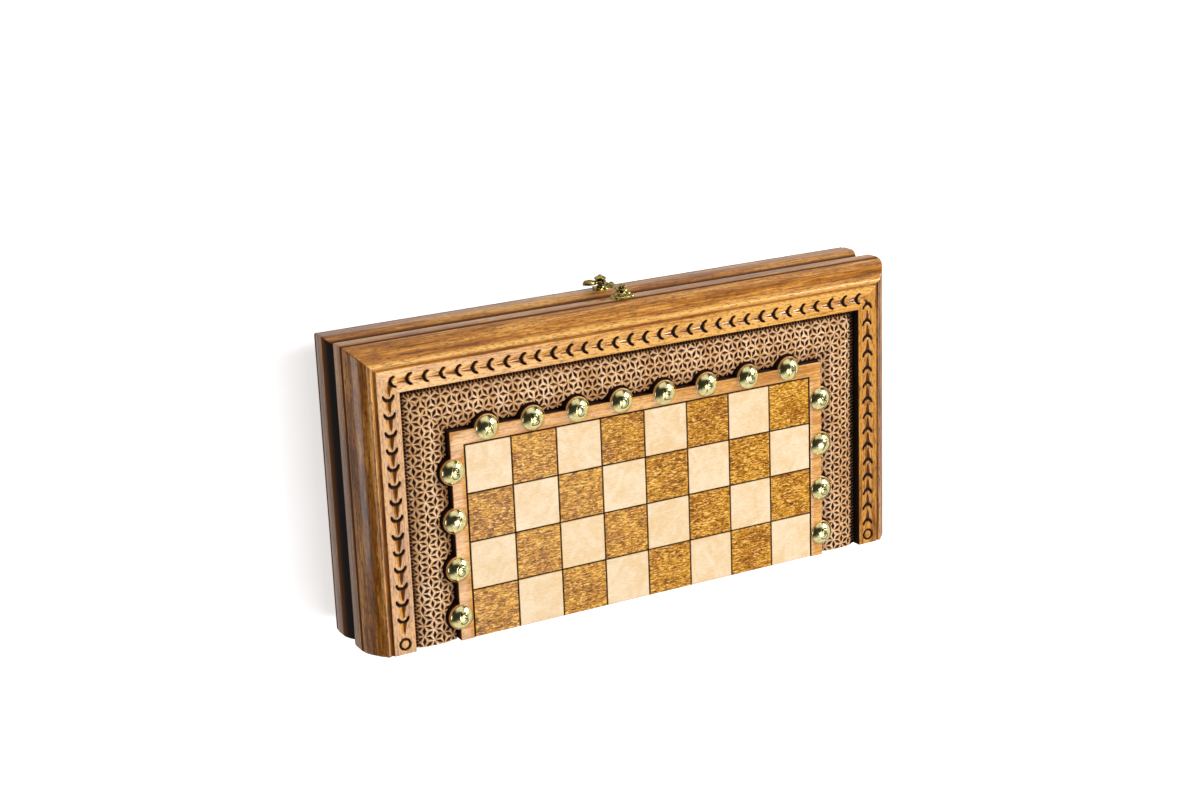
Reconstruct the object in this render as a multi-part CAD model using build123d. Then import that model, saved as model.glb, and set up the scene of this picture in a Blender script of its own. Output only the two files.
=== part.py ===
"""Folding chess box with its men, closed and latched.

The box lies flat: the base half is below the seam, the lid half above it.
X runs along the hinge, Y towards the hinge side, Z up. The origin is the
middle of the hinge-side edge, at the seam between the halves. All sizes
are millimetres.

A half is modelled once, as the lid, with its height measured from the seam
to the board face. The base is the same half mirrored through the seam.
"""

import os
from math import asin, cos, hypot, radians, sin, sqrt

from build123d import *

# Board
FILES = 8
RANKS_PER_HALF = 4
SQUARE_PITCH = 32.25
GRID_LINE = 1.1
VENEER = 1.0
BORDER_WIDTH = 9.7
STUD_OFFSET = 8.9
STUD_RADIUS = 7.8
STUD_RIM = 0.8
STUD_HEIGHT = 4.8
SHANK_RADIUS = 1.5
SHANK_LENGTH = 5.0
LOBE_MARGIN = 0.8
MOAT_WIDTH = 2.9

# Carved zone between the border and the frame
CARVED_WIDTH = 31.3
CARVED_DEPTH = 7.0
CREST_DEPTH = 2.6
CREST_SHARE = 0.46
FRAME_SIDE_RISE = 0.6
MOAT_SIDE_RISE = 2.0

# Rosettes of the carved zone: a net of knots with a chip cut between each two
ROSETTE_PITCH = 7.08
ROSETTE_ROW = 6.64
ROSETTE_ROWS = 4
CHIP_LENGTH = 6.0
CHIP_WIDTH = 2.5
CHIP_DEPTH = 1.2
CHIP_SHAVE = 0.12
CHIP_MARGIN = 1.2

# Half box
HALF_HEIGHT = 38.0
SEAM_GAP = 0.2
PANEL_THICKNESS = 5.0
PANEL_FIT = 0.1
HINGE_RAIL_THICKNESS = 12.0

# Moulding, outward from the frame's flat face and down from it
FACE_WIDTH = 15.15
LIP_OVERHANG = 6.0
FLANGE_REACH = 14.85
QUIRK_DEPTH = 1.6
BEAD_START = 1.4
BEAD_END = 4.6
BEAD_HEIGHT = 1.2
BEAD_FOOT_DROP = 2.0
OVOLO_REACH = 14.5
OVOLO_DROP = 15.8
OVOLO_BULGE = 1.6
SCRIBE_DEPTH = 1.0
SCRIBE_WIDTH = 2.4
FLANGE_DROP = 28.0
SEAM_REACH = 10.3
SEAM_BULGE = 0.6

# Hinges
HINGE_SPACING = 200.0
HINGE_LENGTH = 45.0
LEAF_THICKNESS = 1.4
LEAF_WIDTH = 10.0
KNUCKLE_RADIUS = 1.6
PIN_RADIUS = 0.8
RUNNING_CLEARANCE = 0.05
KNUCKLE_GAP = 0.2
NOTCH_CLEARANCE = 0.3
SCREW_RADIUS = 1.2
SCREW_HEAD_RADIUS = 2.2
SCREW_LENGTH = 9.0
SCREW_HEAD_HEIGHT = 1.0
SCREW_SETBACK = 6.2
SCREW_SPREAD = 15.0
SEAT_FIT = 0.05

# Hook latch
LATCH_PLATE_LENGTH = 10.0
LATCH_PLATE_THICKNESS = 1.5
PLATE_HEIGHT = 9.2
PLATE_CORNER = 1.6
KEEPER_LENGTH = 15.0
KEEPER_STEP_LENGTH = 10.6
KEEPER_STEP_HEIGHT = 6.8
KEEPER_TIER = 2.0
HOOK_LEVEL = 4.2
HOOK_THICKNESS = 2.0
HOOK_FLOAT = 0.2
HOOK_HUB_RADIUS = 4.0
HOOK_ARM_WIDTH = 3.2
HOOK_JAW_WIDTH = 2.0
HOOK_MOUTH_TURN = 110.0
PIVOT_RADIUS = 1.6
SHOULDER_RADIUS = 3.0
KNOB_RADIUS = 4.0
KNOB_HEIGHT = 3.4
NECK_RADIUS = 2.0
NECK_CLEARANCE = 0.3
KEEPER_KNOB_RADIUS = 3.1
KEEPER_KNOB_HEIGHT = 3.0
POST_DEPTH = 6.0
THUMB_LENGTH = 12.0
THUMB_BREADTH = 7.0
THUMB_RIB = 1.2
THUMB_ROOT = 2.8
THUMB_RIB_LENGTH_SHARE = 0.6
THUMB_RIB_BREADTH_SHARE = 0.5
NAIL_RADIUS = 0.7
NAIL_HEAD_RADIUS = 0.9
NAIL_HEAD_HEIGHT = 0.6
NAIL_LENGTH = 7.0
NAIL_SETBACK = 1.1
NAIL_CORNER = 1.5

# Nest and men
NEST_FIT = 0.3
NEST_RECESS = 1.0
NEST_WELL_DEPTH = 20.0
WELL_WIDTH = 46.0
WELL_CENTRE = 80.0
WELL_END_WALL = 6.0
MAN_PITCH = 43.0
MAN_CLEARANCE = 0.3
MAN_SINK = 1.0
FOOT_HEIGHT = 2.4
SWELL_HEIGHT = 6.24
COLLAR_THICKNESS = 1.6

# Shares of a man's base or neck radius
FOOT_STEP_SHARE = 0.84
SWELL_SHARE = 0.62
COLLAR_SHARE = 1.6

# Base radius, height, neck radius and head radius of each man
KING = (11.0, 64.0, 3.4, 5.8)
QUEEN = (10.6, 57.0, 3.2, 5.6)
BISHOP = (9.8, 49.0, 2.8, 4.6)
KNIGHT = (9.8, 44.0, 6.0, 9.8)
ROOK = (9.6, 38.0, 4.2, 6.4)
PAWN = (8.8, 35.0, 2.4, 4.8)
KING_CROSS = 8.0
CROSS_ARM = 1.8
QUEEN_BALL = 1.9
BISHOP_BALL = 1.5
BISHOP_SLOT = 1.0
ROOK_WELL = 4.0
CRENEL = 2.2
HORSE_THICKNESS = 9.0
HORSE_CHAMFER = 1.6

# Places worked out from the sizes above
FIELD_HALF = FILES / 2 * SQUARE_PITCH
FIELD_DEPTH = RANKS_PER_HALF * SQUARE_PITCH
INNER_X = FIELD_HALF + BORDER_WIDTH + CARVED_WIDTH
INNER_Y = FIELD_DEPTH + BORDER_WIDTH + CARVED_WIDTH
OUTER_X = INNER_X + FACE_WIDTH + FLANGE_REACH
OUTER_Y = INNER_Y + FACE_WIDTH + FLANGE_REACH
CAVITY_X = INNER_X + LIP_OVERHANG
CAVITY_Y = INNER_Y + LIP_OVERHANG
SEAM = SEAM_GAP / 2
GROUND = HALF_HEIGHT - CARVED_DEPTH
PANEL_BOTTOM = GROUND - PANEL_THICKNESS
FLANGE_LOW = HALF_HEIGHT - FLANGE_DROP
FLANGE_HIGH = HALF_HEIGHT - OVOLO_DROP - SCRIBE_WIDTH
FLANGE_MIDDLE = (FLANGE_LOW + FLANGE_HIGH) / 2
LOBE_RADIUS = STUD_RADIUS + LOBE_MARGIN
HINGE_AXIS_Y = SEAM
KNUCKLE_LENGTH = (HINGE_LENGTH - 2 * KNUCKLE_GAP) / 3
NEST_TOP = SEAM + NEST_RECESS
JAW_INNER = NECK_RADIUS + NECK_CLEARANCE
JAW_OUTER = JAW_INNER + HOOK_JAW_WIDTH


def block(x0, x1, y0, y1, z0, z1):
    """A box between two corners."""
    size = Box(x1 - x0, y1 - y0, z1 - z0)
    return Pos((x0 + x1) / 2, (y0 + y1) / 2, (z0 + z1) / 2) * size


def outline(start, *steps):
    """A closed face through points; a step of two points is an arc."""
    edges = []
    here = start
    for step in (*steps, start):
        if isinstance(step[0], tuple):
            edges.append(ThreePointArc(here, step[0], step[1]))
            here = step[1]
        elif step != here:
            edges.append(Line(here, step))
            here = step
    return make_face(edges)


def bulge_point(start, end, bulge):
    """The middle of an arc that stands a bulge to the right of its chord."""
    run = (Vector(*end) - Vector(*start)).normalized()
    middle = (Vector(*start) + Vector(*end)) * 0.5
    return (middle.X + run.Y * bulge, middle.Y - run.X * bulge)


def cap_point(radius, low, top):
    """The middle of a round cap's section, from its rim to the axis."""
    rise = top - low
    sphere = (radius**2 + rise**2) / (2 * rise)
    half_turn = asin(radius / sphere) / 2
    return (sphere * sin(half_turn), top - sphere * (1 - cos(half_turn)))


def solid_of(shape):
    """The one solid that a boolean leaves."""
    return shape.solids()[0]


def raised(face, height):
    """A flat face pushed straight up by a height."""
    return extrude(face, height, dir=(0, 0, 1))


def moulding_section(inner):
    """Rail section round an inner edge: outward distance, height from the seam."""
    face = inner + FACE_WIDTH
    cavity = inner + LIP_OVERHANG
    seam_out = (face + SEAM_REACH, SEAM)
    flange_low = (face + FLANGE_REACH, FLANGE_LOW)
    flange_high = (face + FLANGE_REACH, FLANGE_HIGH)
    ovolo_low = (face + OVOLO_REACH, HALF_HEIGHT - OVOLO_DROP)
    scribe = (ovolo_low[0] - SCRIBE_DEPTH, ovolo_low[1] - SCRIBE_DEPTH)
    bead_end = (face + BEAD_END, HALF_HEIGHT - BEAD_FOOT_DROP)
    bead_start = (face + BEAD_START, HALF_HEIGHT - QUIRK_DEPTH)
    return outline(
        (cavity, SEAM),
        seam_out,
        (bulge_point(seam_out, flange_low, SEAM_BULGE), flange_low),
        flange_high,
        scribe,
        ovolo_low,
        (bulge_point(ovolo_low, bead_end, OVOLO_BULGE), bead_end),
        (bulge_point(bead_end, bead_start, BEAD_HEIGHT), bead_start),
        (face, HALF_HEIGHT - QUIRK_DEPTH),
        (face, HALF_HEIGHT),
        (inner, HALF_HEIGHT),
        (inner, GROUND),
        (cavity, GROUND),
    )


def pillow_section(inner):
    """Section of the carved zone inside an inner edge, standing on the ground."""
    low = inner - CARVED_WIDTH + MOAT_WIDTH
    crest = inner - CREST_SHARE * CARVED_WIDTH
    return outline(
        (low, GROUND - PANEL_FIT),
        (inner, GROUND - PANEL_FIT),
        (inner, GROUND + FRAME_SIDE_RISE),
        ((crest, HALF_HEIGHT - CREST_DEPTH), (low, GROUND + MOAT_SIDE_RISE)),
    )


def pillow_arc():
    """Inset and height of the centre of the carved zone's arc, and its radius."""
    points = [
        (0, GROUND + FRAME_SIDE_RISE),
        (CREST_SHARE * CARVED_WIDTH, HALF_HEIGHT - CREST_DEPTH),
        (CARVED_WIDTH - MOAT_WIDTH, GROUND + MOAT_SIDE_RISE),
    ]
    arc = ThreePointArc(*points)
    centre = arc.arc_center
    return centre.X, centre.Y, arc.radius


def chips(length):
    """Inset, distance from the corner and run of each chip of an arm of the zone."""
    found = []
    for row in range(ROSETTE_ROWS):
        inset = ROSETTE_PITCH + row * ROSETTE_ROW
        for step in range(int(length / ROSETTE_PITCH) + 1):
            along = (step + row % 2 / 2) * ROSETTE_PITCH
            found.append((inset, along + ROSETTE_PITCH / 2, (0, 1)))
            for side in (-1, 1):
                run = (-ROSETTE_ROW, side * ROSETTE_PITCH / 2)
                turn = hypot(*run)
                middle = (inset + run[0] / 2, along + run[1] / 2)
                found.append((*middle, (run[0] / turn, run[1] / turn)))
    kept = []
    for inset, along, (across, onward) in found:
        reach_in = (abs(across) * CHIP_LENGTH + abs(onward) * CHIP_WIDTH) / 2
        reach_on = (abs(onward) * CHIP_LENGTH + abs(across) * CHIP_WIDTH) / 2
        to_mitre = abs(onward - across) * CHIP_LENGTH + abs(onward + across) * CHIP_WIDTH
        in_arm = inset - reach_in > CHIP_SHAVE and along + reach_on < length - CHIP_SHAVE
        if in_arm and along - inset > to_mitre / 2:
            kept.append((inset, along, (across, onward)))
    return kept


def chip_cut(inset, along, run, corner, inward, onward):
    """The pyramid that one chip takes out, its rim just above the wood."""
    centre_inset, centre_height, radius = pillow_arc()
    lean = (inset - centre_inset) / radius
    rise = sqrt(1 - lean**2)
    up = inward * lean + Vector(0, 0, rise)
    across = inward * rise - Vector(0, 0, lean)
    middle = corner + inward * inset + onward * along
    middle += Vector(0, 0, centre_height + radius * rise)
    long_way = across * run[0] + onward * run[1]
    side_way = up.cross(long_way)
    growth = (CHIP_DEPTH + CHIP_SHAVE) / CHIP_DEPTH / 2
    reach = [long_way * CHIP_LENGTH * growth, side_way * CHIP_WIDTH * growth]
    rim = [middle + up * CHIP_SHAVE + way for way in (*reach, -reach[0], -reach[1])]
    apex = middle - up * CHIP_DEPTH
    sides = [(apex, rim[i], rim[(i + 1) % 4]) for i in range(4)]
    return Solid(Shell([Face(Wire.make_polygon(ring, close=True)) for ring in (*sides, rim)]))


def moat_distance(place):
    """How far a place lies outside the moat's lobed outer edge."""
    x = abs(place.X) - INNER_X + CARVED_WIDTH - MOAT_WIDTH
    y = -place.Y - INNER_Y + CARVED_WIDTH - MOAT_WIDTH
    lobes = [
        hypot(place.X - stud[0], place.Y - stud[1]) - LOBE_RADIUS - MOAT_WIDTH
        for stud in file_stud_places() + rank_stud_places()
    ]
    return min(max(x, y), *lobes)


def carving():
    """Every chip of the carved zone, as pyramids to cut away."""
    cuts = []
    for side in (-1, 1):
        corner = Vector(side * INNER_X, -INNER_Y, 0)
        inner_x, inner_y = Vector(-side, 0, 0), Vector(0, 1, 0)
        for length, inward, onward in ((INNER_Y, inner_x, inner_y), (INNER_X, inner_y, inner_x)):
            for inset, along, run in chips(length):
                if moat_distance(corner + inward * inset + onward * along) > CHIP_MARGIN:
                    cuts.append(chip_cut(inset, along, run, corner, inward, onward))
    return cuts


def along_side(section):
    """A section run along the +X side, mitred at the clasp corner."""
    run = extrude(Plane.XZ * section, 2 * OUTER_Y, both=True)
    mask = Polygon(
        (INNER_X - CARVED_WIDTH, 0),
        (INNER_X + OUTER_X, 0),
        (INNER_X + OUTER_X, -INNER_Y - OUTER_X),
        (INNER_X - CARVED_WIDTH, -INNER_Y + CARVED_WIDTH),
        align=None,
    )
    return solid_of(run & raised(mask, 2 * HALF_HEIGHT))


def along_clasp_side(section):
    """A section run along the clasp side, mitred at both corners."""
    across = Plane(origin=(0, 0, 0), x_dir=(0, -1, 0), z_dir=(-1, 0, 0))
    run = extrude(across * section, 2 * OUTER_X, both=True)
    mask = Polygon(
        (-INNER_X + CARVED_WIDTH, -INNER_Y + CARVED_WIDTH),
        (INNER_X - CARVED_WIDTH, -INNER_Y + CARVED_WIDTH),
        (INNER_X + OUTER_X, -INNER_Y - OUTER_X),
        (-INNER_X - OUTER_X, -INNER_Y - OUTER_X),
        align=None,
    )
    return solid_of(run & raised(mask, 2 * HALF_HEIGHT))


def file_stud_places():
    """Centres of the studs along the clasp side of the board."""
    y = -(FIELD_DEPTH + STUD_OFFSET)
    return [((i - (FILES - 1) / 2) * SQUARE_PITCH, y) for i in range(FILES)]


def rank_stud_places():
    """Centres of the studs beside the ranks, on both sides of the board."""
    x = FIELD_HALF + STUD_OFFSET
    rows = [-(j + 0.5) * SQUARE_PITCH for j in range(RANKS_PER_HALF)]
    return [(side * x, y) for side in (-1, 1) for y in rows]


def upright(radius, place, low, high):
    """A vertical cylinder at a place, between two heights."""
    rod = Cylinder(radius, high - low)
    return Pos(place[0], place[1], (low + high) / 2) * rod


def carved_panel():
    """Panel that closes the half, with the raised U of carving on it."""
    reach_x = CAVITY_X - PANEL_FIT
    reach_y = CAVITY_Y - PANEL_FIT
    slab = block(-reach_x, reach_x, -reach_y, 0, PANEL_BOTTOM, GROUND)
    side = along_side(pillow_section(INNER_X))
    pillow = side + mirror(side, about=Plane.YZ)
    pillow += along_clasp_side(pillow_section(INNER_Y))
    for place in file_stud_places() + rank_stud_places():
        pillow -= upright(LOBE_RADIUS + MOAT_WIDTH, place, GROUND - PANEL_FIT, HALF_HEIGHT)
    return solid_of((slab + pillow).cut(*carving()))


def board_panel():
    """Raised board with a lobe under each stud and a recess for the squares."""
    edge_x = FIELD_HALF + BORDER_WIDTH
    edge_y = FIELD_DEPTH + BORDER_WIDTH
    board = block(-edge_x, edge_x, -edge_y, 0, GROUND, HALF_HEIGHT)
    places = file_stud_places() + rank_stud_places()
    for place in places:
        board += upright(LOBE_RADIUS, place, GROUND, HALF_HEIGHT)
    line = GRID_LINE / 2
    recess_x = FIELD_HALF + line
    recess_y = FIELD_DEPTH + line
    top = HALF_HEIGHT + VENEER
    board -= block(-recess_x, recess_x, -recess_y, VENEER, HALF_HEIGHT - VENEER, top)
    bottom = HALF_HEIGHT - SHANK_LENGTH - SEAT_FIT
    for place in places:
        board -= upright(SHANK_RADIUS + SEAT_FIT, place, bottom, top)
    return solid_of(board)


def squares(parity):
    """Inlaid squares whose file and rank numbers add up to a parity."""
    side = SQUARE_PITCH - GRID_LINE
    inlay = []
    for i in range(FILES):
        for j in range(RANKS_PER_HALF):
            if (i + j) % 2 == parity:
                x = (i - (FILES - 1) / 2) * SQUARE_PITCH
                y = -(j + 0.5) * SQUARE_PITCH
                z = HALF_HEIGHT - VENEER / 2
                inlay.append(Pos(x, y, z) * Box(side, side, VENEER))
    return Compound(inlay)


def stud():
    """Domed brass stud with its shank, seated at height zero."""
    middle = cap_point(STUD_RADIUS, STUD_RIM, STUD_HEIGHT)
    section = outline(
        (0, -SHANK_LENGTH),
        (SHANK_RADIUS, -SHANK_LENGTH),
        (SHANK_RADIUS, 0),
        (STUD_RADIUS, 0),
        (STUD_RADIUS, STUD_RIM),
        (middle, (0, STUD_HEIGHT)),
    )
    return revolve(Plane.XZ * section, Axis.Z)


def studs(places):
    """One stud at each place on the board face."""
    return Compound([Pos(x, y, HALF_HEIGHT) * stud() for x, y in places])


def hinge_places():
    """Middles of the two hinges along X."""
    return (-HINGE_SPACING / 2, HINGE_SPACING / 2)


def screw_places():
    """Screw positions in the two leaves of one half."""
    spots = []
    for x in hinge_places():
        spots.append((x - SCREW_SPREAD, -SCREW_SETBACK))
        spots.append((x + SCREW_SPREAD, -SCREW_SETBACK))
    return spots


def screw(fit=0.0):
    """Countersunk screw, head down at height zero, grown by a fit."""
    head = SCREW_HEAD_RADIUS + fit
    shank = SCREW_RADIUS + fit
    section = outline(
        (0, -fit),
        (head, -fit),
        (head, 0),
        (shank, SCREW_HEAD_HEIGHT),
        (shank, SCREW_LENGTH + fit),
        (0, SCREW_LENGTH + fit),
    )
    return revolve(Plane.XZ * section, Axis.Z)


def screws():
    """The countersunk screws of one half's two leaves."""
    return Compound([Pos(x, y, SEAM) * screw() for x, y in screw_places()])


def hinge_leaf(knuckles):
    """One leaf above the seam, rolled round the pin at the given thirds."""
    half = HINGE_LENGTH / 2
    root = -(KNUCKLE_RADIUS + NOTCH_CLEARANCE)
    top = SEAM + LEAF_THICKNESS
    leaf = block(-half, half, -LEAF_WIDTH, root, SEAM, top)
    for third in knuckles:
        low = -half + third * (KNUCKLE_LENGTH + KNUCKLE_GAP)
        high = low + KNUCKLE_LENGTH
        roll = Rot(0, 90, 0) * Cylinder(KNUCKLE_RADIUS, KNUCKLE_LENGTH)
        leaf += block(low, high, root, HINGE_AXIS_Y, SEAM, top)
        leaf += Pos((low + high) / 2, HINGE_AXIS_Y, 0) * roll
    bore = Rot(0, 90, 0) * Cylinder(PIN_RADIUS + RUNNING_CLEARANCE, 2 * HINGE_LENGTH)
    leaf -= Pos(0, HINGE_AXIS_Y, 0) * bore
    for x in (-SCREW_SPREAD, SCREW_SPREAD):
        leaf -= Pos(x, -SCREW_SETBACK, SEAM) * screw(SEAT_FIT)
    return solid_of(leaf)


def hinge_pin():
    """Pin through the three knuckles, along X at the middle of the hinge."""
    return Pos(0, HINGE_AXIS_Y, 0) * (Rot(0, 90, 0) * Cylinder(PIN_RADIUS, HINGE_LENGTH))


def hinge_rail():
    """Plain rail at the hinge side, mortised for the leaves and knuckles."""
    rail = block(-CAVITY_X, CAVITY_X, -HINGE_RAIL_THICKNESS, 0, SEAM, PANEL_BOTTOM)
    notch = KNUCKLE_RADIUS + NOTCH_CLEARANCE + SEAT_FIT
    length = HINGE_LENGTH / 2 + SEAT_FIT
    width = LEAF_WIDTH + SEAT_FIT
    for x in hinge_places():
        rail -= block(x - length, x + length, -width, 0, 0, SEAM + LEAF_THICKNESS)
        rail -= block(x - length, x + length, -notch, 0, 0, notch)
    for x, y in screw_places():
        rail -= Pos(x, y, SEAM) * screw(SEAT_FIT)
    return solid_of(rail)


def on_clasp_side(shape):
    """Move a fitting drawn flat, facing up, onto the clasp side's flange."""
    return Plane.XZ.offset(OUTER_Y) * shape


def nail():
    """Round-headed nail standing in a plate of no thickness."""
    middle = cap_point(NAIL_HEAD_RADIUS, 0, NAIL_HEAD_HEIGHT)
    section = outline(
        (0, -NAIL_LENGTH),
        (NAIL_RADIUS, -NAIL_LENGTH),
        (NAIL_RADIUS, 0),
        (NAIL_HEAD_RADIUS, 0),
        (middle, (0, NAIL_HEAD_HEIGHT)),
    )
    return revolve(Plane.XZ * section, Axis.Z)


def plate_nail_places():
    """Nails at the four corners of the base's plate."""
    x = LATCH_PLATE_LENGTH / 2 - NAIL_CORNER
    y = PLATE_HEIGHT / 2 - NAIL_CORNER
    return [(sx * x, -FLANGE_MIDDLE + sy * y) for sx in (-1, 1) for sy in (-1, 1)]


def keeper_nail_places():
    """Nails at the two ends of the keeper's lower tier."""
    x = KEEPER_LENGTH / 2 - NAIL_SETBACK
    return [(-x, FLANGE_MIDDLE), (x, FLANGE_MIDDLE)]


def nails(places, plate):
    """One nail at each place, its head on a plate of a thickness."""
    return on_clasp_side(Compound([Pos(x, y, plate) * nail() for x, y in places]))


def latch_plate():
    """Base plate under the hook's pivot."""
    spot = Pos(0, -FLANGE_MIDDLE, 0)
    sheet = RectangleRounded(LATCH_PLATE_LENGTH, PLATE_HEIGHT, PLATE_CORNER)
    plate = spot * raised(sheet, LATCH_PLATE_THICKNESS)
    plate -= upright(NECK_RADIUS + SEAT_FIT, (0, -FLANGE_MIDDLE), 0, LATCH_PLATE_THICKNESS)
    for place in plate_nail_places():
        plate -= upright(NAIL_RADIUS + SEAT_FIT, place, 0, LATCH_PLATE_THICKNESS)
    return on_clasp_side(solid_of(plate))


def dome(radius, height):
    """A knob with a short side and a round top, on height zero."""
    side = height / 3
    section = outline(
        (0, 0),
        (radius, 0),
        (radius, side),
        (cap_point(radius, side, height), (0, height)),
    )
    return revolve(Plane.XZ * section, Axis.Z)


def latch_pivot():
    """Rivet that the hook turns on, with its shoulder and domed knob."""
    spot = (0, -FLANGE_MIDDLE)
    shoulder = HOOK_LEVEL - HOOK_FLOAT
    knob = HOOK_LEVEL + HOOK_THICKNESS + HOOK_FLOAT
    pivot = upright(NECK_RADIUS, spot, -POST_DEPTH, LATCH_PLATE_THICKNESS)
    pivot += upright(SHOULDER_RADIUS, spot, LATCH_PLATE_THICKNESS, shoulder)
    pivot += upright(PIVOT_RADIUS, spot, shoulder, knob)
    pivot += Pos(*spot, knob) * dome(KNOB_RADIUS, KNOB_HEIGHT)
    return on_clasp_side(solid_of(pivot))


def latch_hook():
    """Hook with its hub, arm, open jaw round the keeper and thumb leaf."""
    hub = (0, -FLANGE_MIDDLE)
    low = HOOK_LEVEL
    high = HOOK_LEVEL + HOOK_THICKNESS
    arm_end = FLANGE_MIDDLE - (JAW_INNER + JAW_OUTER) / 2
    half = HOOK_ARM_WIDTH / 2
    hook = upright(HOOK_HUB_RADIUS, hub, low, high)
    hook += block(-half, half, -FLANGE_MIDDLE, arm_end, low, high)
    mouth = 2 * JAW_OUTER
    ring = Circle(JAW_OUTER) - Circle(JAW_INNER)
    turn = 180 - HOOK_MOUTH_TURN
    gap = Polygon(
        (0, 0),
        (-mouth * cos(radians(turn)), -mouth * sin(radians(turn))),
        (-2 * mouth, 0),
        (-mouth * cos(radians(turn)), mouth * sin(radians(turn))),
        align=None,
    )
    hook += Pos(0, FLANGE_MIDDLE, low) * raised(ring - gap, HOOK_THICKNESS)
    root = (THUMB_ROOT, 0)
    tip = (THUMB_ROOT + THUMB_LENGTH, 0)
    breadth = THUMB_BREADTH / 2
    lens = outline(
        root,
        (bulge_point(root, tip, breadth), tip),
        (bulge_point(tip, root, breadth), root),
    )
    hook += Pos(*hub, low) * raised(lens, HOOK_THICKNESS)
    rib = scale(lens, by=(THUMB_RIB_LENGTH_SHARE, THUMB_RIB_BREADTH_SHARE, 1))
    rib_start = KNOB_RADIUS + 2 * HOOK_FLOAT - THUMB_RIB_LENGTH_SHARE * THUMB_ROOT
    hook += Pos(rib_start, -FLANGE_MIDDLE, high) * raised(rib, THUMB_RIB)
    hook -= upright(PIVOT_RADIUS + RUNNING_CLEARANCE, hub, low, high)
    return on_clasp_side(solid_of(hook))


def latch_keeper():
    """Stepped keeper with the knobbed neck that the hook closes on."""
    spot = (0, FLANGE_MIDDLE)
    step = 2 * KEEPER_TIER
    knob = HOOK_LEVEL + HOOK_THICKNESS + HOOK_FLOAT
    lower = RectangleRounded(KEEPER_LENGTH, PLATE_HEIGHT, PLATE_CORNER)
    upper = RectangleRounded(KEEPER_STEP_LENGTH, KEEPER_STEP_HEIGHT, PLATE_CORNER)
    keeper = Pos(*spot, 0) * raised(lower, KEEPER_TIER)
    keeper += Pos(*spot, KEEPER_TIER) * raised(upper, KEEPER_TIER)
    keeper += upright(NECK_RADIUS, spot, -POST_DEPTH, 0)
    keeper += upright(NECK_RADIUS, spot, step, knob)
    keeper += Pos(*spot, knob) * dome(KEEPER_KNOB_RADIUS, KEEPER_KNOB_HEIGHT)
    for place in keeper_nail_places():
        keeper -= upright(NAIL_RADIUS + SEAT_FIT, place, 0, KEEPER_TIER)
    return on_clasp_side(solid_of(keeper))


def clasp_rail(post_height, nail_places, plate):
    """Moulded rail on the clasp side, bored for the post and the nails."""
    rail = along_clasp_side(moulding_section(INNER_Y))
    bores = upright(NECK_RADIUS + SEAT_FIT, (0, post_height), -POST_DEPTH - SEAT_FIT, SEAM_GAP)
    for x, y in nail_places:
        bores += Pos(x, y, plate) * upright(
            NAIL_RADIUS + SEAT_FIT, (0, 0), -NAIL_LENGTH - SEAT_FIT, 0)
    return rail, on_clasp_side(bores)


def turned(start, *steps):
    """A turned man from half its section, standing on height zero."""
    section = outline((0, 0), start, *steps)
    return revolve(Plane.XZ * section, Axis.Z)


def shaft(base, neck, shoulder):
    """Steps of the foot, the waist and the collar up to a shoulder height."""
    collar = shoulder - COLLAR_THICKNESS
    foot_top = (FOOT_STEP_SHARE * base, FOOT_HEIGHT)
    swell = (SWELL_SHARE * base, SWELL_HEIGHT)
    waist = (neck, collar)
    ring = COLLAR_SHARE * neck
    return [
        (base, FOOT_HEIGHT),
        foot_top,
        (bulge_point(foot_top, swell, 0.08 * base), swell),
        (bulge_point(swell, waist, -0.16 * base), waist),
        (ring, collar),
        (ring, shoulder),
        (neck, shoulder),
    ]


def pawn():
    """Pawn with a ball head."""
    base, height, neck, head = PAWN
    centre = height - head
    shoulder = centre - sqrt(head**2 - neck**2)
    steps = shaft(base, neck, shoulder)
    return turned((base, 0), *steps, ((head, centre), (0, height)))


def rook():
    """Rook with a hollow, crenellated tower."""
    base, height, neck, head = ROOK
    floor = height - ROOK_WELL
    shoulder = height - 2.6 * ROOK_WELL
    hollow = head - CRENEL * 0.8
    tower = turned(
        (base, 0),
        *shaft(base, neck, shoulder),
        (head, shoulder + CRENEL),
        (head, height),
        (hollow, height),
        (hollow, floor),
        (0, floor),
    )
    for turn in (0, 60, 120):
        cut = Box(3 * head, CRENEL, CRENEL)
        tower -= Pos(0, 0, height - CRENEL / 2) * (Rot(0, 0, turn) * cut)
    return solid_of(tower)


def bishop():
    """Bishop with a slotted mitre and a small ball."""
    base, height, neck, head = BISHOP
    ball = BISHOP_BALL
    tip = (0.6 * ball, height - 1.8 * ball)
    shoulder = height - 3.6 * head
    widest = (head, shoulder + 1.5 * head)
    mitre = turned(
        (base, 0),
        *shaft(base, neck, shoulder),
        (widest, tip),
        ((ball, height - ball), (0, height)),
    )
    cut = Box(2 * head, 3 * head, BISHOP_SLOT)
    place = Pos(head, 0, shoulder + 2.6 * head) * Rot(0, -50, 0)
    return solid_of(mitre - place * cut)


def queen():
    """Queen with a flared crown and a ball."""
    base, height, neck, head = QUEEN
    ball = QUEEN_BALL
    rim = height - 2.6 * ball
    shoulder = height - 3.1 * head
    throat = (0.6 * ball, height - 1.8 * ball)
    return turned(
        (base, 0),
        *shaft(base, neck, shoulder),
        (bulge_point((neck, shoulder), (head, rim), -0.1 * head), (head, rim)),
        (0.8 * head, rim + 0.1 * head),
        throat,
        ((ball, height - ball), (0, height)),
    )


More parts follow.
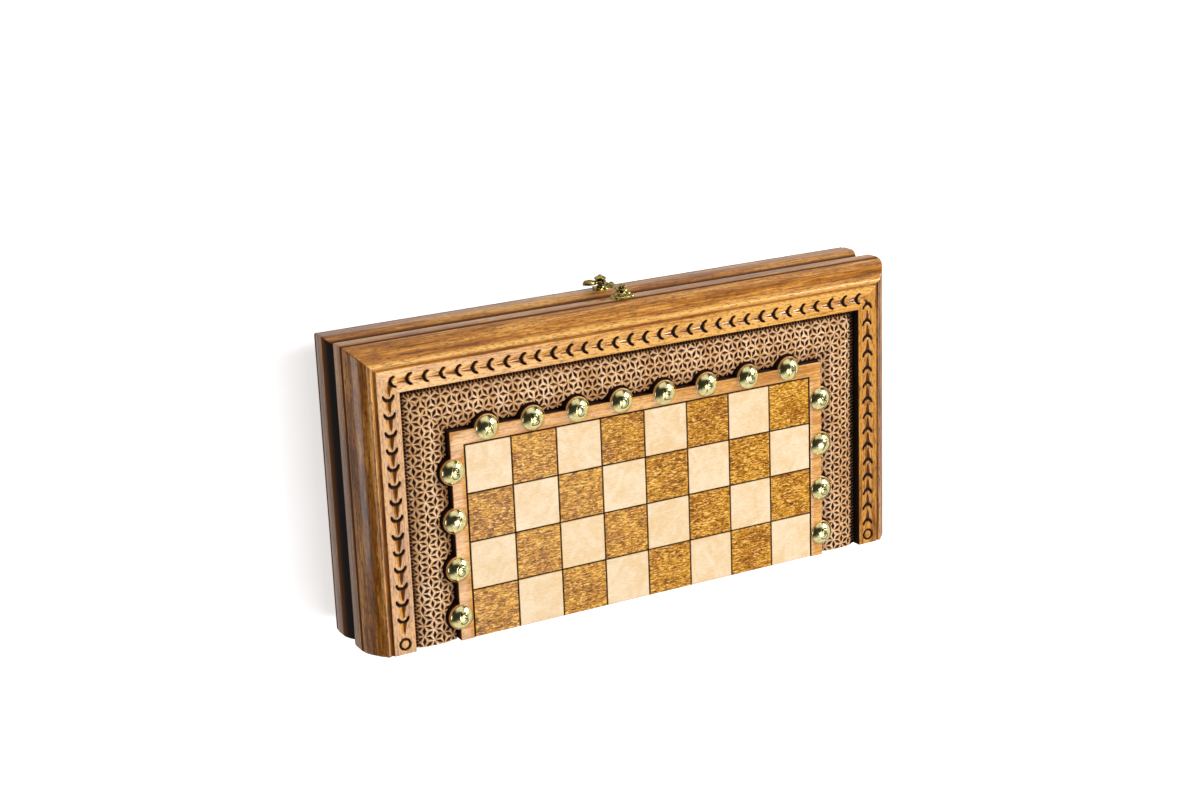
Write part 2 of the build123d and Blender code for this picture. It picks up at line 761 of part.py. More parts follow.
def king():
    """King with a flared crown and a plain cross."""
    base, height, neck, head = KING
    top = height - KING_CROSS
    rim = top - 0.3 * head
    shoulder = top - 2.6 * head
    crown = turned(
        (base, 0),
        *shaft(base, neck, shoulder),
        (bulge_point((neck, shoulder), (head, rim), -0.1 * head), (head, rim)),
        (cap_point(head, rim, top), (0, top)),
    )
    post = block(-CROSS_ARM / 2, CROSS_ARM / 2, -CROSS_ARM / 2, CROSS_ARM / 2,
                 top - CROSS_ARM / 2, height)
    beam = block(-KING_CROSS / 3, KING_CROSS / 3, -CROSS_ARM / 2, CROSS_ARM / 2,
                 height - 0.55 * KING_CROSS, height - 0.55 * KING_CROSS + CROSS_ARM)
    return solid_of(crown + post + beam)


def knight():
    """Knight: a horse's head cut from a board, on a turned foot."""
    base, height, neck, _ = KNIGHT
    step = (FOOT_STEP_SHARE * base, FOOT_HEIGHT)
    top = (0.8 * base, SWELL_HEIGHT)
    foot = turned(
        (base, 0),
        (base, FOOT_HEIGHT),
        step,
        (bulge_point(step, top, 0.08 * base), top),
        (0, SWELL_HEIGHT),
    )
    horse = outline(
        (-neck, FOOT_HEIGHT),
        (neck, FOOT_HEIGHT),
        ((0.62 * base, 0.34 * height), (0.12 * base, 0.5 * height)),
        (0.2 * base, 0.6 * height),
        (0.62 * base, 0.56 * height),
        (0.9 * base, 0.6 * height),
        (0.88 * base, 0.68 * height),
        (0.34 * base, 0.86 * height),
        (0.1 * base, 0.9 * height),
        (-0.12 * base, height),
        (-0.36 * base, 0.9 * height),
        ((-0.84 * base, 0.6 * height), (-neck, FOOT_HEIGHT)),
    )
    head = extrude(Plane.XZ * horse, HORSE_THICKNESS / 2, both=True)
    sides = head.faces().filter_by(Axis.Y)
    head = chamfer(sides.edges(), HORSE_CHAMFER / 2)
    return solid_of(foot + head)


OFFICERS = ("rooks", "knights", "bishops", "queen", "king", "bishops", "knights", "rooks")
CARVERS = {
    "rooks": (rook, ROOK),
    "knights": (knight, KNIGHT),
    "bishops": (bishop, BISHOP),
    "queen": (queen, QUEEN),
    "king": (king, KING),
    "pawns": (pawn, PAWN),
}


def berths():
    """Each lying man: kind, x, y of its base and which way its head points."""
    rows = []
    for k, kind in enumerate(OFFICERS):
        x = (k - (len(OFFICERS) - 1) / 2) * MAN_PITCH
        height = CARVERS[kind][1][1]
        rows.append((kind, x, -(WELL_CENTRE + WELL_WIDTH / 2) - height, 1))
        rows.append(("pawns", x, -(WELL_CENTRE - WELL_WIDTH / 2) + PAWN[1], -1))
    return rows


def lying(kind, x, base_y, heading):
    """The place that lays an upright man down in its berth."""
    radius = CARVERS[kind][1][0]
    return Pos(x, base_y, NEST_TOP + MAN_SINK + radius) * Rot(-90 * heading, 0, 0)


def men(kind):
    """All men of a kind, lying in one half."""
    man = CARVERS[kind][0]()
    return Compound([lying(*berth) * man for berth in berths() if berth[0] == kind])


def berth_cut(kind, x, base_y, heading):
    """Hollow for one man: a tapered trough that opens to the seam and the well."""
    base, height, _, head = CARVERS[kind][1]
    wide = base + MAN_CLEARANCE
    slim = head + MAN_CLEARANCE
    foot = -MAN_CLEARANCE
    crown = height + MAN_CLEARANCE
    sides = [(wide, foot), (wide, FOOT_HEIGHT), (slim, crown)]
    trough = turned((0, foot), *sides, (0, crown))
    plan = Polygon(*sides, *[(-x, y) for x, y in reversed(sides)], align=None)
    throat = Rot(0, 0, 90 - 90 * heading) * raised(plan, NEST_TOP + MAN_SINK + base)
    return lying(kind, x, base_y, heading) * trough + Pos(x, base_y, 0) * throat


def nest():
    """Lined tray that holds the men, with a finger well between the rows."""
    reach_x = CAVITY_X - NEST_FIT
    tray = block(-reach_x, reach_x, -CAVITY_Y + NEST_FIT, -HINGE_RAIL_THICKNESS - NEST_FIT,
                 NEST_TOP, PANEL_BOTTOM)
    end = reach_x - WELL_END_WALL
    tray -= block(-end, end, -WELL_CENTRE - WELL_WIDTH / 2, -WELL_CENTRE + WELL_WIDTH / 2,
                  0, NEST_TOP + NEST_WELL_DEPTH)
    for berth in berths():
        tray -= berth_cut(*berth)
    return solid_of(tray)


def half_box():
    """Every piece of a half that the lid and the base share, by name."""
    side = along_side(moulding_section(INNER_X))
    return {
        "left_rail": mirror(side, about=Plane.YZ),
        "right_rail": side,
        "hinge_rail": hinge_rail(),
        "carved_panel": carved_panel(),
        "board_panel": board_panel(),
        "file_studs": studs(file_stud_places()),
        "rank_studs": studs(rank_stud_places()),
        "nest": nest(),
        "hinge_screws": screws(),
    }


def below(shape):
    """The base's copy of a piece of the lid."""
    return mirror(shape, about=Plane.XY)


def model():
    """Every piece of the closed box, by node name."""
    pieces = {}
    for name, shape in half_box().items():
        pieces["lid_" + name] = shape
        pieces["base_" + name] = below(shape)
    for kind in CARVERS:
        shape = men(kind)
        pieces["light_" + kind] = shape
        pieces["dark_" + kind] = below(shape)
    for parity, colour in ((0, "light"), (1, "dark")):
        shape = squares(parity)
        other = "dark" if colour == "light" else "light"
        pieces["lid_" + colour + "_squares"] = shape
        pieces["base_" + other + "_squares"] = below(shape)

    rail, bores = clasp_rail(FLANGE_MIDDLE, keeper_nail_places(), KEEPER_TIER)
    pieces["lid_clasp_rail"] = solid_of(rail - bores)
    rail, bores = clasp_rail(-FLANGE_MIDDLE, plate_nail_places(), LATCH_PLATE_THICKNESS)
    pieces["base_clasp_rail"] = solid_of(below(rail) - bores)

    for side, x in zip(("left", "right"), hinge_places()):
        place = Pos(x, 0, 0)
        pieces[side + "_hinge_lid_leaf"] = place * hinge_leaf((1,))
        pieces[side + "_hinge_base_leaf"] = place * below(hinge_leaf((0, 2)))
        pieces[side + "_hinge_pin"] = place * hinge_pin()

    pieces["latch_plate"] = latch_plate()
    pieces["latch_pivot"] = latch_pivot()
    pieces["latch_hook"] = latch_hook()
    pieces["latch_keeper"] = latch_keeper()
    pieces["latch_plate_nails"] = nails(plate_nail_places(), LATCH_PLATE_THICKNESS)
    pieces["latch_keeper_nails"] = nails(keeper_nail_places(), KEEPER_TIER)
    return pieces


os.makedirs("parts", exist_ok=True)
for node, piece in model().items():
    export_step(piece, os.path.join("parts", node + ".step"))
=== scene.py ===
"""Finish of a folding chess box: carved and moulded wood, inlaid board, brass and men.

The box lies flat and closed, X along its hinge, Z up, the clasp at its -Y side. Sizes
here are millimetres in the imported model's frame; Shape.build turns them into metres.
The lid's parts are shaped once and mirrored through the seam for the base, apart from
the studs, whose glyphs differ. Widths, depths and levels follow from BoxSizes and from
each sub-assembly's own fields.
"""

from __future__ import annotations

import logging
import math
from collections.abc import Callable
from dataclasses import dataclass, field
from enum import Enum

import bpy
import numpy as np
from mathutils import Matrix, Vector

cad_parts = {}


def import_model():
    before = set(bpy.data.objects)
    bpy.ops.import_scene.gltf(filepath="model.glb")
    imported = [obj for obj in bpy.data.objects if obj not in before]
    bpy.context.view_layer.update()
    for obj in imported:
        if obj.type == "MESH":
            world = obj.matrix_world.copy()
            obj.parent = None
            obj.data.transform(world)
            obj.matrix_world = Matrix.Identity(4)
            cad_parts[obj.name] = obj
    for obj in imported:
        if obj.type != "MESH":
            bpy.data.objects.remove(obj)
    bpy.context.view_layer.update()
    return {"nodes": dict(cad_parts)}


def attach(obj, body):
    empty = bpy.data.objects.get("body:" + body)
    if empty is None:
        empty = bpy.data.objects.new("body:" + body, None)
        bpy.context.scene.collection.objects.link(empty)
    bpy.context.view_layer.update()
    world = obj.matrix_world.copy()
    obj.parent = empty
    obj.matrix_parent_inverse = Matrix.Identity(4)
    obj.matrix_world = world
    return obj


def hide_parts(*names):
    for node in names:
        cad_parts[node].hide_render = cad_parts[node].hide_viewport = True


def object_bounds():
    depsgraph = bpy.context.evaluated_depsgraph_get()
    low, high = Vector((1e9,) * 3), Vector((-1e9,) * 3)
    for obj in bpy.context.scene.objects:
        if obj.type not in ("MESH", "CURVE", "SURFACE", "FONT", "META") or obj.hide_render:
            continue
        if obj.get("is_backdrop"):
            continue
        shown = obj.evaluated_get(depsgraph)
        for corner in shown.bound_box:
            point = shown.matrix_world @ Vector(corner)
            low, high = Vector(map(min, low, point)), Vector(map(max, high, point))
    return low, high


LOG = logging.getLogger("chess_box")
MM = 0.001

Array = np.ndarray
Outline = list[tuple[float, float]]
Reach = Callable[[Array, Array], Array]
Material = bpy.types.Material
Node = bpy.types.Node
Object = bpy.types.Object
Socket = bpy.types.NodeSocket
Tree = bpy.types.NodeTree


class Half(Enum):
    """The two halves of the box, by the body that each rides on."""

    LID = "lid"
    BASE = "base"


class Grain(Enum):
    """The axis that a piece of wood's grain runs along."""

    X = 0
    Y = 1


class Side(Enum):
    """The three moulded sides of a half, by the sign of X where they stand on one."""

    LEFT = -1
    CLASP = 0
    RIGHT = 1


@dataclass(frozen=True)
class BoxSizes:
    """Sizes of the closed box that more than one sub-assembly needs."""

    square: float = 32.25
    files: int = 8
    ranks: int = 4
    border: float = 9.7
    carved: float = 31.3
    moat: float = 0.9
    face: float = 15.15
    flange: float = 14.85
    height: float = 38.0
    ground: float = 31.0
    seam: float = 0.1
    lip: float = 6.0
    panel: float = 5.0
    stud_radius: float = 8.0
    stud_offset: float = 8.9
    lobe: float = 8.6

    @property
    def field(self) -> float:
        """Half the board's width, which is also its depth from the hinge."""
        return self.files / 2 * self.square

    @property
    def inner(self) -> float:
        """Half the frame's opening, which is also its depth from the hinge."""
        return self.field + self.border + self.carved

    @property
    def stud_places(self) -> Outline:
        """Centres of the studs: the files' row, then both columns of ranks."""
        reach = self.field + self.stud_offset
        middle = (self.files - 1) / 2
        row = [((i - middle) * self.square, -reach) for i in range(self.files)]
        steps = [-(j + 0.5) * self.square for j in range(self.ranks)]
        return row + [(side * reach, y) for side in (-1, 1) for y in steps]


BOX = BoxSizes()


def linear(code: str) -> tuple[float, float, float, float]:
    """Turn an sRGB hex colour into linear values.

    Args:
        code: Six hex digits after a hash sign.

    Returns:
        Linear red, green, blue and an alpha of 1.
    """
    parts = [int(code[i : i + 2], 16) / 255 for i in (1, 3, 5)]
    curve = [p / 12.92 if p <= 0.04045 else ((p + 0.055) / 1.055) ** 2.4 for p in parts]
    return (*curve, 1.0)


def feed(tree: Tree, node: Node, inputs: dict) -> None:
    """Fill a node's inputs.

    Args:
        tree: The node's tree.
        node: The node.
        inputs: Input name or index to a value, or to the socket that feeds it.
    """
    for key, value in inputs.items():
        if isinstance(value, Socket):
            tree.links.new(value, node.inputs[key])
        else:
            node.inputs[key].default_value = value


def add_node(tree: Tree, kind: str, inputs: dict | None = None, stops: tuple = (), **settings) -> Node:
    """Add a shader node, set it up and fill its inputs.

    Args:
        tree: The material's or world's node tree.
        kind: The node's Blender type, without the ShaderNode in front.
        inputs: Input name or index to a value, or to the socket that feeds it.
        stops: Position and hex colour of each stop, where the node has a colour ramp.
        **settings: Properties of the node itself.

    Returns:
        The new node.
    """
    node = tree.nodes.new(f"ShaderNode{kind}")
    for name, value in settings.items():
        setattr(node, name, value)
    for place, _ in stops[2:]:
        node.color_ramp.elements.new(place)
    for k, (place, code) in enumerate(stops):
        node.color_ramp.elements[k].position = place
        node.color_ramp.elements[k].color = linear(code)
    feed(tree, node, inputs or {})
    return node


def ranged(
    tree: Tree, value: Socket, low: float, high: float, start: float = 0.0, end: float = 1.0
) -> Socket:
    """Map the range from low to high onto start to end, and hold what lies beyond it."""
    inputs = {"Value": value, "From Min": low, "From Max": high, "To Min": start, "To Max": end}
    return add_node(tree, "MapRange", inputs).outputs[0]


def toned(tree: Tree, value: Socket, places: tuple, codes: tuple) -> Socket:
    """Turn a value into a colour by a ramp of hex colours at places."""
    return add_node(tree, "ValToRGB", {"Fac": value}, stops=tuple(zip(places, codes))).outputs[0]


def tinted(tree: Tree, share: Socket, under: Socket, code: str) -> Socket:
    """Lay a hex colour over another colour by a share."""
    return add_node(tree, "Mix", {0: share, 6: under, 7: linear(code)}, data_type="RGBA").outputs[2]


def counted(tree: Tree, operation: str, *values: Socket | float) -> Socket:
    """Work out one operation on numbers."""
    return add_node(tree, "Math", dict(enumerate(values)), operation=operation).outputs[0]


def facing(tree: Tree, way: Socket, line: tuple) -> Socket:
    """How far a direction points along a line, from -1 to 1."""
    return add_node(tree, "VectorMath", {0: way, 1: line}, operation="DOT_PRODUCT").outputs["Value"]


def noisy(tree: Tree, place: Socket, scale: float = 1.0, **more: float) -> Socket:
    """Noise with so many cells to a unit of its place."""
    return add_node(tree, "TexNoise", {"Vector": place, "Scale": scale, **more}).outputs["Fac"]


def drawn_out(tree: Tree, place: Socket, width: float, stretch: float, grain: Grain) -> Socket:
    """Scale places so that a cell of noise is narrow across the grain and long along it.

    Args:
        tree: The material's node tree.
        place: The places, in metres.
        width: Width of one cell across the grain, in millimetres.
        stretch: How many times longer it is along the grain.
        grain: The grain's axis.

    Returns:
        The scaled places.
    """
    scale = [1000 / width] * 3
    scale[grain.value] /= stretch
    return add_node(tree, "Mapping", {"Vector": place, "Scale": scale}).outputs["Vector"]


def bumped(tree: Tree, height: Socket, strength: float, depth: float) -> Socket:
    """The normal of a bump, its depth in millimetres."""
    inputs = {"Height": height, "Strength": strength, "Distance": depth * MM}
    return add_node(tree, "Bump", inputs).outputs["Normal"]


def by_ray(tree: Tree, matt: Node, gloss: Node, camera: Node) -> Socket:
    """Show one shader to matt surfaces, one to reflections and one to the camera.

    Args:
        tree: The node tree.
        matt: The shader that lights matt surfaces.
        gloss: The one that reflections show.
        camera: The one that the camera sees.

    Returns:
        The mixed shader.
    """
    seen = add_node(tree, "LightPath").outputs
    mixed = add_node(tree, "MixShader", {0: seen["Is Glossy Ray"], 1: matt.outputs[0], 2: gloss.outputs[0]})
    mixed = add_node(tree, "MixShader", {0: seen["Is Camera Ray"], 1: mixed.outputs[0], 2: camera.outputs[0]})
    return mixed.outputs[0]


def new_material(name: str) -> tuple[Material, Tree]:
    """A new material, and its node tree with a principled shader in it."""
    material = bpy.data.materials.new(name)
    material.use_nodes = True
    return material, material.node_tree


def unit(values: Array) -> Array:
    """Hold values between 0 and 1."""
    return np.clip(values, 0, 1)


def line_distance(x: Array, y: Array, line: Outline) -> Array:
    """Distance of each place from a line through points.

    Args:
        x, y: The places.
        line: The points.

    Returns:
        The distances.
    """
    nearest = np.full_like(x, 1e9)
    for (ax, ay), (bx, by) in zip(line, line[1:]):
        share = unit(((x - ax) * (bx - ax) + (y - ay) * (by - ay)) / ((bx - ax) ** 2 + (by - ay) ** 2))
        nearest = np.minimum(nearest, np.hypot(x - ax - share * (bx - ax), y - ay - share * (by - ay)))
    return nearest


def hashed(index: Array, seed: float) -> Array:
    """Repeatable noise from 0 to 1 for whole numbers, another series for each seed."""
    wave = np.sin(np.asarray(index, float) * 12.9898 + seed * 78.233) * 43758.5453
    return wave - np.floor(wave)


def arc_points(start: tuple, end: tuple, bulge: float, steps: int) -> Outline:
    """Points of an arc from start to end, both included.

    Args:
        start: First point.
        end: Last point.
        bulge: How far the arc stands to the right of its chord.
        steps: Number of chords.

    Returns:
        The points, one more than the steps.
    """
    (ax, ay), (bx, by) = start, end
    chord = math.hypot(bx - ax, by - ay)
    ux, uy = (bx - ax) / chord, (by - ay) / chord
    radius = (chord**2 / 4 + bulge**2) / (2 * bulge)
    half = math.asin(min(1.0, chord / 2 / abs(radius)))
    points = []
    for i in range(steps + 1):
        turn = -half + 2 * half * i / steps
        along = abs(radius) * math.sin(turn) + chord / 2
        out = abs(radius) * (math.cos(turn) - math.cos(half)) * (1 if bulge > 0 else -1)
        points.append((ax + ux * along + uy * out, ay + uy * along - ux * out))
    return points


@dataclass
class Shape:
    """A closed mesh in the making, with how dark each point is stained.

    Attributes:
        points: One row of millimetres for each point.
        faces: Corner indices of each face.
        stain: 1 for the black floor of a cut, 0 for plain wood, -1 where a painted sheen makes it pale.
        Besides stain, it carries painted shade, as at the seam and on facets away from the light.
    """

    points: Array
    faces: list
    stain: Array

    @classmethod
    def plain(cls, points: Array, faces: list) -> Shape:
        """A shape with no stain."""
        points = np.asarray(points, float)
        return cls(points, faces, np.zeros(len(points)))

    def volume(self) -> float:
        """Signed volume: positive when the faces look outward."""
        total = 0.0
        for size in {len(f) for f in self.faces}:
            fan = np.array([f for f in self.faces if len(f) == size])
            first = self.points[fan[:, 0]]
            for k in range(1, size - 1):
                cross = np.cross(self.points[fan[:, k]], self.points[fan[:, k + 1]])
                total += float((first * cross).sum())
        return total / 6

    def outward(self) -> Shape:
        """The same shape with its faces turned outward."""
        if self.volume() < 0:
            self.faces = [tuple(reversed(f)) for f in self.faces]
        return self

    def for_half(self, half: Half) -> Shape:
        """A lid's shape for a half: as it is, or a copy mirrored through the seam for the base."""
        if half is Half.LID:
            return self
        faces = [tuple(reversed(f)) for f in self.faces]
        return Shape(self.points * (1, 1, -1), faces, self.stain.copy())

    def moved(self, matrix: Matrix) -> Shape:
        """A copy moved by a matrix, with its places in millimetres."""
        full = np.array(matrix)
        points = self.points @ full[:3, :3].T + full[:3, 3]
        return Shape(points, list(self.faces), self.stain.copy())

    def joined(self, *others: Shape) -> Shape:
        """This shape and others as one mesh of separate shells."""
        shapes = (self, *others)
        starts = np.cumsum([0] + [len(s.points) for s in shapes])
        faces = [tuple(int(i) + start for i in f) for s, start in zip(shapes, starts) for f in s.faces]
        points = np.concatenate([s.points for s in shapes])
        return Shape(points, faces, np.concatenate([s.stain for s in shapes]))

    def build(
        self, prefix: str, node: str, finish: Material, body: str, slot: str, crease: float = 35.0
    ) -> None:
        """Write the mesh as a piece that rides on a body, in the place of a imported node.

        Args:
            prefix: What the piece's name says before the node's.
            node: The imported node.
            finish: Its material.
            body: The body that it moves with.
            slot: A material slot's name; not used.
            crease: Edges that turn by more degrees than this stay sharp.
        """
        name = f"{prefix}_{node}"
        mesh = bpy.data.meshes.new(name)
        mesh.from_pydata((self.points * MM).tolist(), [], [tuple(map(int, f)) for f in self.faces])
        layer = mesh.attributes.new("stain", "FLOAT", "POINT")
        layer.data.foreach_set("value", self.stain.astype(np.float32))
        mesh.shade_smooth()
        mesh.set_sharp_from_angle(angle=math.radians(crease))
        mesh.materials.append(finish)
        piece = bpy.data.objects.new(name, mesh)
        bpy.context.scene.collection.objects.link(piece)
        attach(piece, body)
        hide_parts(node)
        LOG.info("%s: %d points, %d faces", name, len(self.points), len(self.faces))


def swept(rows: Array, stain: Array) -> Shape:
    """A closed tube of quads through a grid of points, capped at both ends.

    Args:
        rows: Section points by stations by three coordinates.
        stain: Section points by stations.

    Returns:
        The closed shape.
    """
    count, stations = rows.shape[:2]
    index = np.arange(count * stations).reshape(count, stations)
    after = np.roll(index, -1, axis=0)
    quads = np.stack([index[:, :-1], after[:, :-1], after[:, 1:], index[:, 1:]], axis=-1)
    faces = [tuple(q) for q in quads.reshape(-1, 4).tolist()]
    faces.append(tuple(reversed(index[:, 0].tolist())))
    faces.append(tuple(index[:, -1].tolist()))
    return Shape(rows.reshape(-1, 3), faces, stain.reshape(-1)).outward()


def lathed(section: Outline, turns: int) -> Shape:
    """A solid of revolution about Z from half a section.

    Args:
        section: Radius and height of each point, from the axis round to the axis.
        turns: Number of facets round the axis.

    Returns:
        The closed shape.
    """
    ring = [p for p in section if p[0] > 1e-9]
    angle = np.arange(turns) * 2 * math.pi / turns
    radius = np.array([p[0] for p in ring])[:, None]
    height = np.array([p[1] for p in ring])[:, None]
    rings = np.stack([radius * np.cos(angle), radius * np.sin(angle), height + 0 * angle], axis=-1)
    points = rings.reshape(-1, 3)
    faces = []
    for i in range(len(ring) - 1):
        for k in range(turns):
            after = (k + 1) % turns
            faces.append((i * turns + k, i * turns + after, (i + 1) * turns + after, (i + 1) * turns + k))
    for start, place in ((0, section[0]), ((len(ring) - 1) * turns, section[-1])):
        points = np.vstack([points, [0, 0, place[1]]])
        for k in range(turns):
            corner = (start + k, start + (k + 1) % turns)
            faces.append((len(points) - 1, *(corner[::-1] if start == 0 else corner)))
    return Shape.plain(points, faces).outward()


def edge_net(
    x: Array,
    y: Array,
    reach: Reach,
    step: float,
    turned: Array | bool = False,
    top: float = math.inf,
) -> tuple[Array, Array, Array, Array]:
    """Triangles over a grid inside an outline, their outer points laid on it.

    Args:
        x, y: The grid's places.
        reach: How far inside the outline a place lies, negative outside.
        step: The grid's spacing.
        turned: Which squares are cut along their other diagonal.
        top: The Y that no point passes.

    Returns:
        X, Y and reach of each point that is used, and the triangles.
    """
    probe = 0.01
    snap = 0.62
    depth = reach(x, y)
    slope_x = (reach(x + probe, y) - depth) / probe
    slope_y = (reach(x, y + probe) - depth) / probe
    steep = np.maximum(slope_x**2 + slope_y**2, 1e-6)
    near = np.abs(depth) < step * snap * np.sqrt(steep)
    x = np.where(near, x - depth * slope_x / steep, x)
    y = np.where(near & (y < top - 1e-9), np.minimum(y - depth * slope_y / steep, top), y)
    depth = np.where(near, 0.0, depth).ravel()
    index = np.arange(x.size).reshape(x.shape)
    a, b = index[:-1, :-1], index[:-1, 1:]
    c, d = index[1:, :-1], index[1:, 1:]
    first = np.where(turned, np.stack([a, c, b], -1), np.stack([a, c, d], -1)).reshape(-1, 3)
    second = np.where(turned, np.stack([c, d, b], -1), np.stack([a, d, b], -1)).reshape(-1, 3)
    triangles = np.concatenate([first, second])
    triangles = triangles[(depth[triangles].min(1) > -1e-6) & (depth[triangles].max(1) > 1e-6)]
    ax, bx, cx = x.ravel()[triangles].T
    ay, by, cy = y.ravel()[triangles].T
    area = (bx - ax) * (cy - ay) - (by - ay) * (cx - ax)
    triangles = triangles[np.abs(area) > 1e-4]
    used, triangles = np.unique(triangles, return_inverse=True)
    return x.ravel()[used], y.ravel()[used], depth[used], triangles.reshape(-1, 3)


def rim_edges(triangles: Array, count: int) -> Array:
    """The edges that only one triangle uses, in the direction that it uses them.

    Args:
        triangles: Corner indices.
        count: Number of points.

    Returns:
        One row of two indices for each edge.
    """
    directed = np.concatenate([triangles[:, [0, 1]], triangles[:, [1, 2]], triangles[:, [2, 0]]])
    edges = np.sort(directed, axis=1).astype(np.int64)
    _, place, uses = np.unique(edges[:, 0] * count + edges[:, 1], return_index=True, return_counts=True)
    return directed[place[uses == 1]]


def cushion(
    reach: Reach,
    box: tuple[float, float, float, float],
    step: float,
    low: float,
    high: float,
    ease: float,
    relief: Reach | None = None,
    both: bool = False,
) -> Shape:
    """A flat piece with a rounded edge, cut to an outline, its face up.

    Args:
        reach: How far inside the outline a place lies.
        box: Lowest and highest X, then Y, that hold the outline.
        step: Spacing of its points.
        low: Height of its underside.
        high: Height of its face.
        ease: Width of the rounding.
        relief: Height that is added at a place of the face.
        both: True where the underside is rounded and carved as the face is.

    Returns:
        The closed shape.
    """
    x, y = np.meshgrid(
        np.arange(box[0] - step, box[1] + 1.5 * step, step),
        np.arange(box[2] - step, box[3] + 1.5 * step, step),
        indexing="ij",
    )
    x, y, depth, triangles = edge_net(x, y, reach, step)
    share = unit(depth / ease)
    rise = np.sqrt(1 - (1 - share) ** 2)
    added = relief(x, y) * unit(share * 1.5) if relief else 0.0
    if both:
        middle, half = (low + high) / 2, (high - low) / 2
        # The rim keeps a quarter of the thickness.
        upper = middle + half * (0.25 + 0.75 * rise) + added
        lower = 2 * middle - upper
    else:
        # The rounding takes no more than 0.7 of the thickness.
        upper = high - min(ease, (high - low) * 0.7) * (1 - rise) + added
        lower = np.full_like(upper, low)
    count = len(x)
    points = np.concatenate([np.stack([x, y, upper], 1), np.stack([x, y, lower], 1)])
    faces = [tuple(t) for t in triangles.tolist()]
    faces += [tuple(t) for t in (triangles[:, ::-1] + count).tolist()]
    faces += [(a, a + count, b + count, b) for a, b in rim_edges(triangles, count).tolist()]
    return Shape.plain(points, faces).outward()


@dataclass(frozen=True)
class LacqueredWood:
    """Wood planed, carved or turned, then stained and sprayed with gloss lacquer.

    The stain sinks into the wood's short flecks and gathers in every cut, so the wood
    is flecked and a cut turns brown. The stain attribute also carries painted shade, and
    turns the floors of cuts and recesses black. Where it runs below zero, a painted
    sheen makes the wood paler. The lacquer lays an even gloss over
    the face and leaves the cuts dull.
    """

    name: str
    grain: Grain
    dark: str = "#7c460c"
    middle: str = "#c27c26"
    light: str = "#f0b45a"
    fleck: str = "#623406"
    cut: str = "#6e3c0c"
    pit: str = "#0e0502"
    tones: tuple[float, float, float] = (0.39, 0.5, 0.61)
    # How much paler a painted sheen makes the wood where the stain runs below zero.
    painted_sheen: float = 0.2
    streak_width: float = 1.3
    band_width: float = 8.0
    fleck_width: float = 1.0
    stretch: float = 16.0
    fleck_stretch: float = 4.0
    fleck_share: float = 0.6
    fleck_edge: tuple[float, float] = (0.5, 0.64)
    cut_edge: tuple[float, float] = (0.0, 0.45)
    pit_edge: tuple[float, float] = (0.4, 0.9)
    roughness: float = 0.3
    cut_roughness: float = 0.85
    coat: float = 0.5

    def build(self) -> Material:
        """Make the material."""
        material, tree = new_material(self.name)
        place = add_node(tree, "TexCoord").outputs["Object"]
        wide = drawn_out(tree, place, self.band_width, self.stretch, self.grain)
        slim = drawn_out(tree, place, self.streak_width, self.stretch, self.grain)
        short = drawn_out(tree, place, self.fleck_width, self.fleck_stretch, self.grain)
        bands = noisy(tree, wide, Detail=3.0, Distortion=0.6)
        streaks = noisy(tree, slim, Detail=5.0, Roughness=0.65)
        flecks = noisy(tree, short, Detail=2.0, Roughness=0.6)
        stain = add_node(tree, "Attribute", attribute_name="stain").outputs["Fac"]
        tone = add_node(tree, "Mix", {0: 0.5, 2: streaks, 3: bands}).outputs[0]
        # Painted sheen: below zero the stain lifts the tone paler.
        tone = counted(tree, "ADD", tone, ranged(tree, stain, 0.0, -1.0, 0.0, self.painted_sheen))
        wood = toned(tree, tone, self.tones, (self.dark, self.middle, self.light))
        wood = tinted(tree, ranged(tree, flecks, *self.fleck_edge, 0.0, self.fleck_share), wood, self.fleck)
        wood = tinted(tree, ranged(tree, stain, *self.cut_edge), wood, self.cut)
        wood = tinted(tree, ranged(tree, stain, *self.pit_edge), wood, self.pit)
        feed(tree, tree.nodes["Principled BSDF"], {
            "Base Color": wood,
            "Roughness": ranged(tree, stain, 0.0, 0.4, self.roughness, self.cut_roughness),
            "Coat Weight": ranged(tree, stain, 0.0, 0.3, self.coat, 0.0),
            "Coat Roughness": 0.1,
            "Specular IOR Level": 0.35,
            "IOR": 1.5,
            "Normal": bumped(tree, streaks, 0.15, 0.3),
        })
        return material


@dataclass(frozen=True)
class Metal:
    """Solid metal with the marks that its making leaves on it.

    Polish gives a clear reflection, and a faint unevenness keeps it from a mirror.
    Tarnish or a thin spot of the plating shows as another tone between the marks.
    """

    name: str
    colour: str
    tarnish: str
    roughness: float
    engraved: str = "#2a2410"
    mark_size: float = 2.0
    mark_depth: float = 0.02

    def build(self) -> Material:
        """Make the material."""
        material, tree = new_material(self.name)
        place = add_node(tree, "TexCoord").outputs["Object"]
        marks = noisy(tree, place, 1000 / self.mark_size, Detail=4.0)
        stain = add_node(tree, "Attribute", attribute_name="stain").outputs["Fac"]
        worn = toned(tree, marks, (0.35, 0.6), (self.tarnish, self.colour))
        feed(tree, tree.nodes["Principled BSDF"], {
            "Base Color": tinted(tree, stain, worn, self.engraved),
            "Metallic": 1.0,
            "Roughness": self.roughness,
            "Normal": bumped(tree, marks, 0.3, self.mark_depth),
        })
        return material


